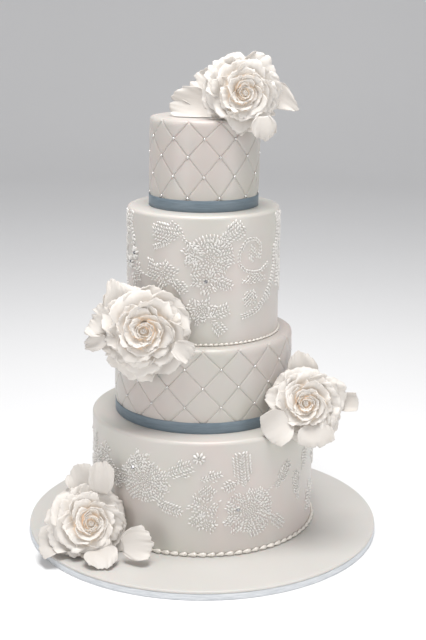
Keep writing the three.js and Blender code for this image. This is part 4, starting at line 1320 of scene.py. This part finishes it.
class PetalHeap:
    """Petals gathered into one mesh"""

    def __init__(self, sizes):
        self.thick = sizes.petal_thickness / MM
        self.edge = sizes.petal_edge / MM
        self.points, self.faces, self.uv, self.flat = [], [], [], []
        self.painted_recess_shade = None

    def add_sheet(self, flat, placed, half, share):
        """A thin sheet: its points in the flower's own frame and in place, half its thickness, its UVs"""
        normals = grid_normals(placed)
        start = sum(len(part) for part in self.points)
        self.points += [(placed + normals * half).reshape(-1, 3), (placed - normals * half).reshape(-1, 3)]
        self.faces += petal_faces(*flat.shape[:2], start)
        self.uv += [share.reshape(-1, 2)] * 2
        self.flat += [flat.reshape(-1, 3)] * 2

    def add_petal(self, petal, matrix, columns=25, rows=14):
        even = np.linspace(-1.0, 1.0, columns)
        sides = np.sin(even * math.pi / 2) * 0.35 + even * 0.65
        alongs = np.linspace(0.02, 1.0, rows) ** 0.85
        side, along = np.meshgrid(sides, alongs, indexing="ij")
        flat = petal_surface(petal, side, along)
        rim = np.maximum(np.abs(side), along)[..., None]
        self.add_sheet(flat, clear_of_cake(moved(flat, matrix), 0.5 + self.thick / 2),
                       mixed(self.thick, self.edge, rim ** 2) / 2,
                       np.stack([side * 0.5 + 0.5, along], axis=-1))

    def add_turned(self, profile, matrix, scale, segments=24):
        """A small closed body turned round the flower's own axis"""
        angles = np.linspace(0.0, 2 * math.pi, segments, endpoint=False)
        rings = [(radius * math.cos(angle), radius * math.sin(angle), height)
                 for angle in angles for radius, height in profile[1:-1]]
        flat = np.array(rings + [(0.0, 0.0, profile[0][1]), (0.0, 0.0, profile[-1][1])]) * scale
        start = sum(len(part) for part in self.points)
        self.points.append(clear_of_cake(moved(flat, matrix), 0.5))
        self.faces += [tuple(start + index for index in face)
                       for face in turned_faces(segments, len(profile) - 2)]
        self.uv.append(np.full((len(flat), 2), 0.5))
        self.flat.append(flat)

    def paint_recess_shade(self, scale):
        """Sets the painted warm shade of each point by how deep it lies behind the flower's face, less so far
        out
        """
        flat = np.vstack(self.flat)
        radius = np.hypot(flat[:, 0], flat[:, 1])
        ring = np.minimum((radius / (FACE_RING * scale)).astype(int), FACE_RINGS - 1)
        turn = np.arctan2(flat[:, 1], flat[:, 0]) / (2 * math.pi) + 0.5
        sector = (turn * FACE_SECTORS).astype(int) % FACE_SECTORS
        face = np.full((FACE_RINGS, FACE_SECTORS), -1e3)
        np.maximum.at(face, (ring, sector), flat[:, 2])
        depth = (face[ring, sector] - flat[:, 2]) / scale
        near = np.clip(1.3 - radius / (30.0 * scale), 0.1, 1.0) * smooth_step(11.0, 18.0, flat[:, 2] / scale)
        self.painted_recess_shade = np.clip((depth - RECESS_SHADE_FROM) / RECESS_SHADE_OVER, 0.0, 1.0) * near

    def piece(self, name):
        points = np.vstack(self.points)
        # heart carries the painted warm shade of the recesses
        painted_recess_shade = np.zeros(len(points)) if self.painted_recess_shade is None else self.painted_recess_shade
        return new_piece(name, points, self.faces, uv=np.vstack(self.uv), values={"heart": painted_recess_shade})


def petal_faces(columns, rows, start):
    """Both faces of a petal and the rim that joins them"""
    size = columns * rows
    under = start + size
    faces = [tuple(start + index for index in reversed(face)) for face in grid_faces(columns, rows)]
    faces += [tuple(under + index for index in face) for face in grid_faces(columns, rows)]
    border = ([column * rows for column in range(columns)]
              + [(columns - 1) * rows + row for row in range(1, rows)]
              + [column * rows + rows - 1 for column in range(columns - 2, -1, -1)]
              + [row for row in range(rows - 2, 0, -1)])
    for here, after in zip(border, border[1:] + border[:1]):
        faces.append((start + here, start + after, under + after, under + here))
    return faces


def whorl_at(inward):
    """The whorl's measures at a place between two of the listed whorls"""
    low = min(int(inward), len(WHORLS) - 2)
    share = inward - low
    values = [mixed(a, b, share) for a, b in zip(WHORLS[low], WHORLS[low + 1])]
    return dict(zip(WHORL_PARTS, values))


def rose_petals(rose, inward, sizes):
    """One whorl's petals for a rose, each a little different"""
    scale = rose["size"] / ROSE_SIZE
    whorl = whorl_at(inward)
    openness = len(WHORLS) - 1 - inward
    count = round(whorl["petals"])
    between = inward % 1.0 > 0
    heart = inward > HEART_ROWS_FROM
    for index in range(count):
        seed = rose["seed"] + inward * 10 + index
        stray = (1.0 if between else 0.4) + 0.6 * heart
        swerve = 6 * vary(seed, 1) + 12 * stray * vary(seed, 11)
        base_radius = whorl["base_radius"] * scale * (0.94 if between else 1.0)
        yield {
            "turn": (index + inward * 0.38) * 360 / count + inward * 24 + swerve,
            "base_radius": base_radius * (1 + 0.16 * stray * vary(seed, 19)),
            "base_height": whorl["base_height"] * scale + 1.6 * stray * vary(seed, 20),
            "length": whorl["length"] * scale * (1 + 0.1 * vary(seed, 2) + 0.08 * stray * vary(seed, 12)),
            "width": whorl["width"] * scale * ((1.05 if heart else 1.32) + 0.16 * vary(seed, 3)),
            "start_tilt": whorl["start_tilt"] + 4.0 * stray * vary(seed, 13),
            "end_tilt": whorl["end_tilt"] + openness * 3 * vary(seed, 4) + 8.0 * stray * vary(seed, 14),
            "wrap_base": whorl["wrap_base"] * scale,
            "wrap_tip": whorl["wrap_tip"] * scale * (1.0 + 0.3 * vary(seed, 15)),
            "ruffle": whorl["ruffle"] * scale * 1.5 + 0.5,
            "skew": whorl["skew"] * scale * (1.5 + 0.6 * vary(seed, 16)),
            "waves": 1.5 + 0.6 * vary(seed, 5),
            "shift": math.pi * vary(seed, 6),
            "point": 0.06 * openness * max(0.0, vary(seed, 7)) + 0.05 * max(0.0, vary(seed, 17)),
            "frill": sizes.petal_frill / MM * min(1.0, 0.35 + 0.2 * openness) * (0.9 + 0.5 * vary(seed, 8)),
            "nick": 0.022 + 0.022 * abs(vary(seed, 18)),
            "curl": 1.3 * openness * (0.55 + 0.55 * vary(seed, 9)) + 0.4,
        }


def rose_matrix(rose):
    """Brings a flower's axis to face outward and a little up, with its foot in place"""
    facing, lift = math.radians(rose["facing"]), math.radians(rose["lift"])
    axis = Vector((math.sin(facing) * math.cos(lift), -math.cos(facing) * math.cos(lift), math.sin(lift)))
    swing = Vector((0, 0, 1)).rotation_difference(axis).to_matrix().to_4x4()
    return Matrix.Translation(rose["foot"]) @ swing @ Matrix.Rotation(math.radians(rose["spin"]), 4, "Z")


def add_bud(heap, rose, matrix):
    """The bud's rolled heart: a thin leaf of sugar paste wound inward and rising to the tip"""
    scale = rose["size"] / ROSE_SIZE
    turns = np.linspace(0.0, BUD_TURNS, 70)
    squash = 1.0 + 0.18 * np.sin(turns * 4 * math.pi + rose["seed"])
    roll = mixed(*BUD_ROLL, (turns / BUD_TURNS) ** 0.8) * squash * scale
    top = (BUD_TIP - 3.5 + 5.0 * turns / BUD_TURNS + 1.1 * np.sin(turns * 8.0 + rose["seed"])) * scale
    bottom = BUD_FOOT * scale
    turn, share = np.meshgrid(turns, np.linspace(0.0, 1.0, 10), indexing="ij")
    belly = 1.0 + 0.12 * np.sin(share * math.pi) - 0.42 * share ** 3
    out_by = roll[:, None] * belly
    level = bottom + (top[:, None] - bottom) * share
    way = turn * 2 * math.pi
    flat = np.stack([out_by * np.cos(way), out_by * np.sin(way), level], axis=-1)
    heap.add_sheet(flat, moved(flat, matrix), BUD_LEAF_THICKNESS / 2,
                   np.stack([turn / BUD_TURNS, share], axis=-1))
    heap.add_turned(BUD_CORE, matrix, scale)
    heap.add_turned(FLOWER_FOOT, matrix, scale)


class CAKE_OT_roses(bpy.types.Operator):
    """Shapes the sugar roses from overlapping whorls of thin petals round a rolled bud"""

    bl_idname = "cake.roses"
    bl_label = "Sugar Roses"

    def execute(self, context):
        sizes = context.scene.cake_sizes
        for rose in ROSES:
            heap = PetalHeap(sizes)
            matrix = rose_matrix(rose)
            for inward in PETAL_ROWS:
                for petal in rose_petals(rose, inward, sizes):
                    heap.add_petal(petal, matrix)
            add_bud(heap, rose, matrix)
            heap.paint_recess_shade(rose["size"] / ROSE_SIZE)
            place_piece(heap.piece(f"sugar_{rose['name']}"), finish("dried_petal"),
                        "sugar_petal", rose["name"])
        return {"FINISHED"}


def loose_petal(entry, index, sizes):
    """A loose petal's measures and its frame, which faces the front and a little upward"""
    _, start, end, width, cup, frill, point, facing = entry
    start, end = np.array(start, dtype=float), np.array(end, dtype=float)
    length = np.linalg.norm(end - start)
    forward = (end - start) / length
    sideways = np.cross(forward, facing)
    sideways /= np.linalg.norm(sideways)
    outward = np.cross(sideways, forward)
    petal = {
        "turn": 0.0, "base_radius": 0.0, "base_height": 0.0, "length": length, "width": width,
        "start_tilt": 78.0, "end_tilt": 102.0, "wrap_base": width * 0.6, "wrap_tip": width * width / 8 / cup,
        "ruffle": 2.8, "skew": 1.5 * vary(index, 7), "waves": 1.8 + 0.4 * vary(index, 5),
        "shift": math.pi * vary(index, 6), "point": point, "frill": sizes.petal_frill / MM * frill * 0.6,
        "nick": 0.02 * (0.5 + frill), "curl": 2.2,
    }
    columns = [forward, -sideways, outward, start]
    matrix = Matrix([[column[axis] for column in columns] for axis in range(3)] + [[0, 0, 0, 1]])
    return petal, matrix


class CAKE_OT_loose_petals(bpy.types.Operator):
    """Sets the loose petals round the roses"""

    bl_idname = "cake.loose_petals"
    bl_label = "Loose Petals"

    def execute(self, context):
        sizes = context.scene.cake_sizes
        for index, entry in enumerate(LOOSE_PETALS):
            petal, matrix = loose_petal(entry, index, sizes)
            heap = PetalHeap(sizes)
            heap.add_petal(petal, matrix, columns=37, rows=24)
            place_piece(heap.piece(f"sugar_{entry[0]}"), finish("loose_petal"), "sugar_petal", entry[0])
        return {"FINISHED"}


# Stage


def studio_floor():
    """A floor that sweeps up into a back wall"""
    sweep = [(SWEEP_START + SWEEP_RADIUS * math.sin(a), SWEEP_RADIUS - SWEEP_RADIUS * math.cos(a))
             for a in np.linspace(0.1, math.pi / 2, 14)]
    profile = [(FLOOR_FRONT, 0.0), (SWEEP_START, 0.0), *sweep, (SWEEP_START + SWEEP_RADIUS, WALL_TOP)]
    points = [(x / MM, y / MM, z / MM) for x in (-FLOOR_HALF_WIDTH, FLOOR_HALF_WIDTH) for y, z in profile]
    return new_piece("studio_floor", points, grid_faces(2, len(profile)))


def area_light(name, place, target, size, power):
    light = bpy.data.lights.new(name, "AREA")
    light.shape = "DISK"
    light.size = size
    light.energy = power
    lamp = bpy.data.objects.new(name, light)
    bpy.context.scene.collection.objects.link(lamp)
    lamp.location = place
    lamp.rotation_euler = (Vector(target) - Vector(place)).to_track_quat("-Z", "Y").to_euler()


class CAKE_OT_stage(bpy.types.Operator):
    """Sets the floor, the soft studio light and the camera"""

    bl_idname = "cake.stage"
    bl_label = "Stage"

    def execute(self, context):
        floor = studio_floor()
        colour = tuple(context.scene.cake_colours.floor)
        material, tree, shader = new_finish("floor_paper", colour, 0.8)
        toned(tree, shader, colour, object_noise(tree, 1.2),
              (0.3, 0.99, 0.99, 0.99), (0.7, 1.01, 1.01, 1.01))
        floor.data.materials.append(material)
        world = bpy.data.worlds.new("studio_air")
        world.use_nodes = True
        air = world.node_tree.nodes["Background"]
        air.inputs["Color"].default_value = AIR_COLOUR
        air.inputs["Strength"].default_value = AIR_STRENGTH
        context.scene.world = world
        for light in LIGHTS:
            area_light(*light)
        camera = bpy.data.objects.new("camera", bpy.data.cameras.new("camera"))
        context.scene.collection.objects.link(camera)
        camera.data.lens = CAMERA_LENS
        camera.data.sensor_width = 36.0
        camera.data.clip_end = 50.0
        camera.location = CAMERA_PLACE
        aim = Matrix.Rotation(math.radians(90.0 - CAMERA_PITCH), 3, "X")
        camera.rotation_euler = (aim @ Matrix.Rotation(math.radians(CAMERA_ROLL), 3, "Z")).to_euler()
        context.scene.camera = camera
        context.scene.view_settings.view_transform = "Standard"
        return {"FINISHED"}


class CAKE_PT_panel(bpy.types.Panel):
    """Lists the cake's pieces and sizes"""

    bl_idname = "CAKE_PT_panel"
    bl_label = "Wedding Cake"
    bl_space_type = "VIEW_3D"
    bl_region_type = "UI"
    bl_category = "Cake"

    def draw(self, context):
        column = self.layout.column(align=True)
        for operator in PIECE_OPERATORS:
            column.operator(operator.bl_idname)
        for group in (context.scene.cake_sizes, context.scene.cake_colours):
            box = self.layout.box().column()
            for name in group.__annotations__:
                box.prop(group, name)


PIECE_OPERATORS = (
    CAKE_OT_board,
    CAKE_OT_laced_tiers,
    CAKE_OT_quilted_tiers,
    CAKE_OT_ribbons,
    CAKE_OT_borders,
    CAKE_OT_lace,
    CAKE_OT_roses,
    CAKE_OT_loose_petals,
    CAKE_OT_stage,
)
CLASSES = (CakeSizes, CakeColours, *PIECE_OPERATORS, CAKE_PT_panel)


def register():
    for each in CLASSES:
        bpy.utils.register_class(each)
    bpy.types.Scene.cake_sizes = PointerProperty(type=CakeSizes)
    bpy.types.Scene.cake_colours = PointerProperty(type=CakeColours)


def unregister():
    del bpy.types.Scene.cake_colours
    del bpy.types.Scene.cake_sizes
    for each in reversed(CLASSES):
        bpy.utils.unregister_class(each)


def main():
    register()
    bpy.ops.cake.board()
    bpy.ops.cake.laced_tiers()
    bpy.ops.cake.quilted_tiers()
    bpy.ops.cake.ribbons()
    bpy.ops.cake.borders()
    bpy.ops.cake.lace()
    bpy.ops.cake.roses()
    bpy.ops.cake.loose_petals()
    bpy.ops.cake.stage()


if __name__ == "__main__":
    main()
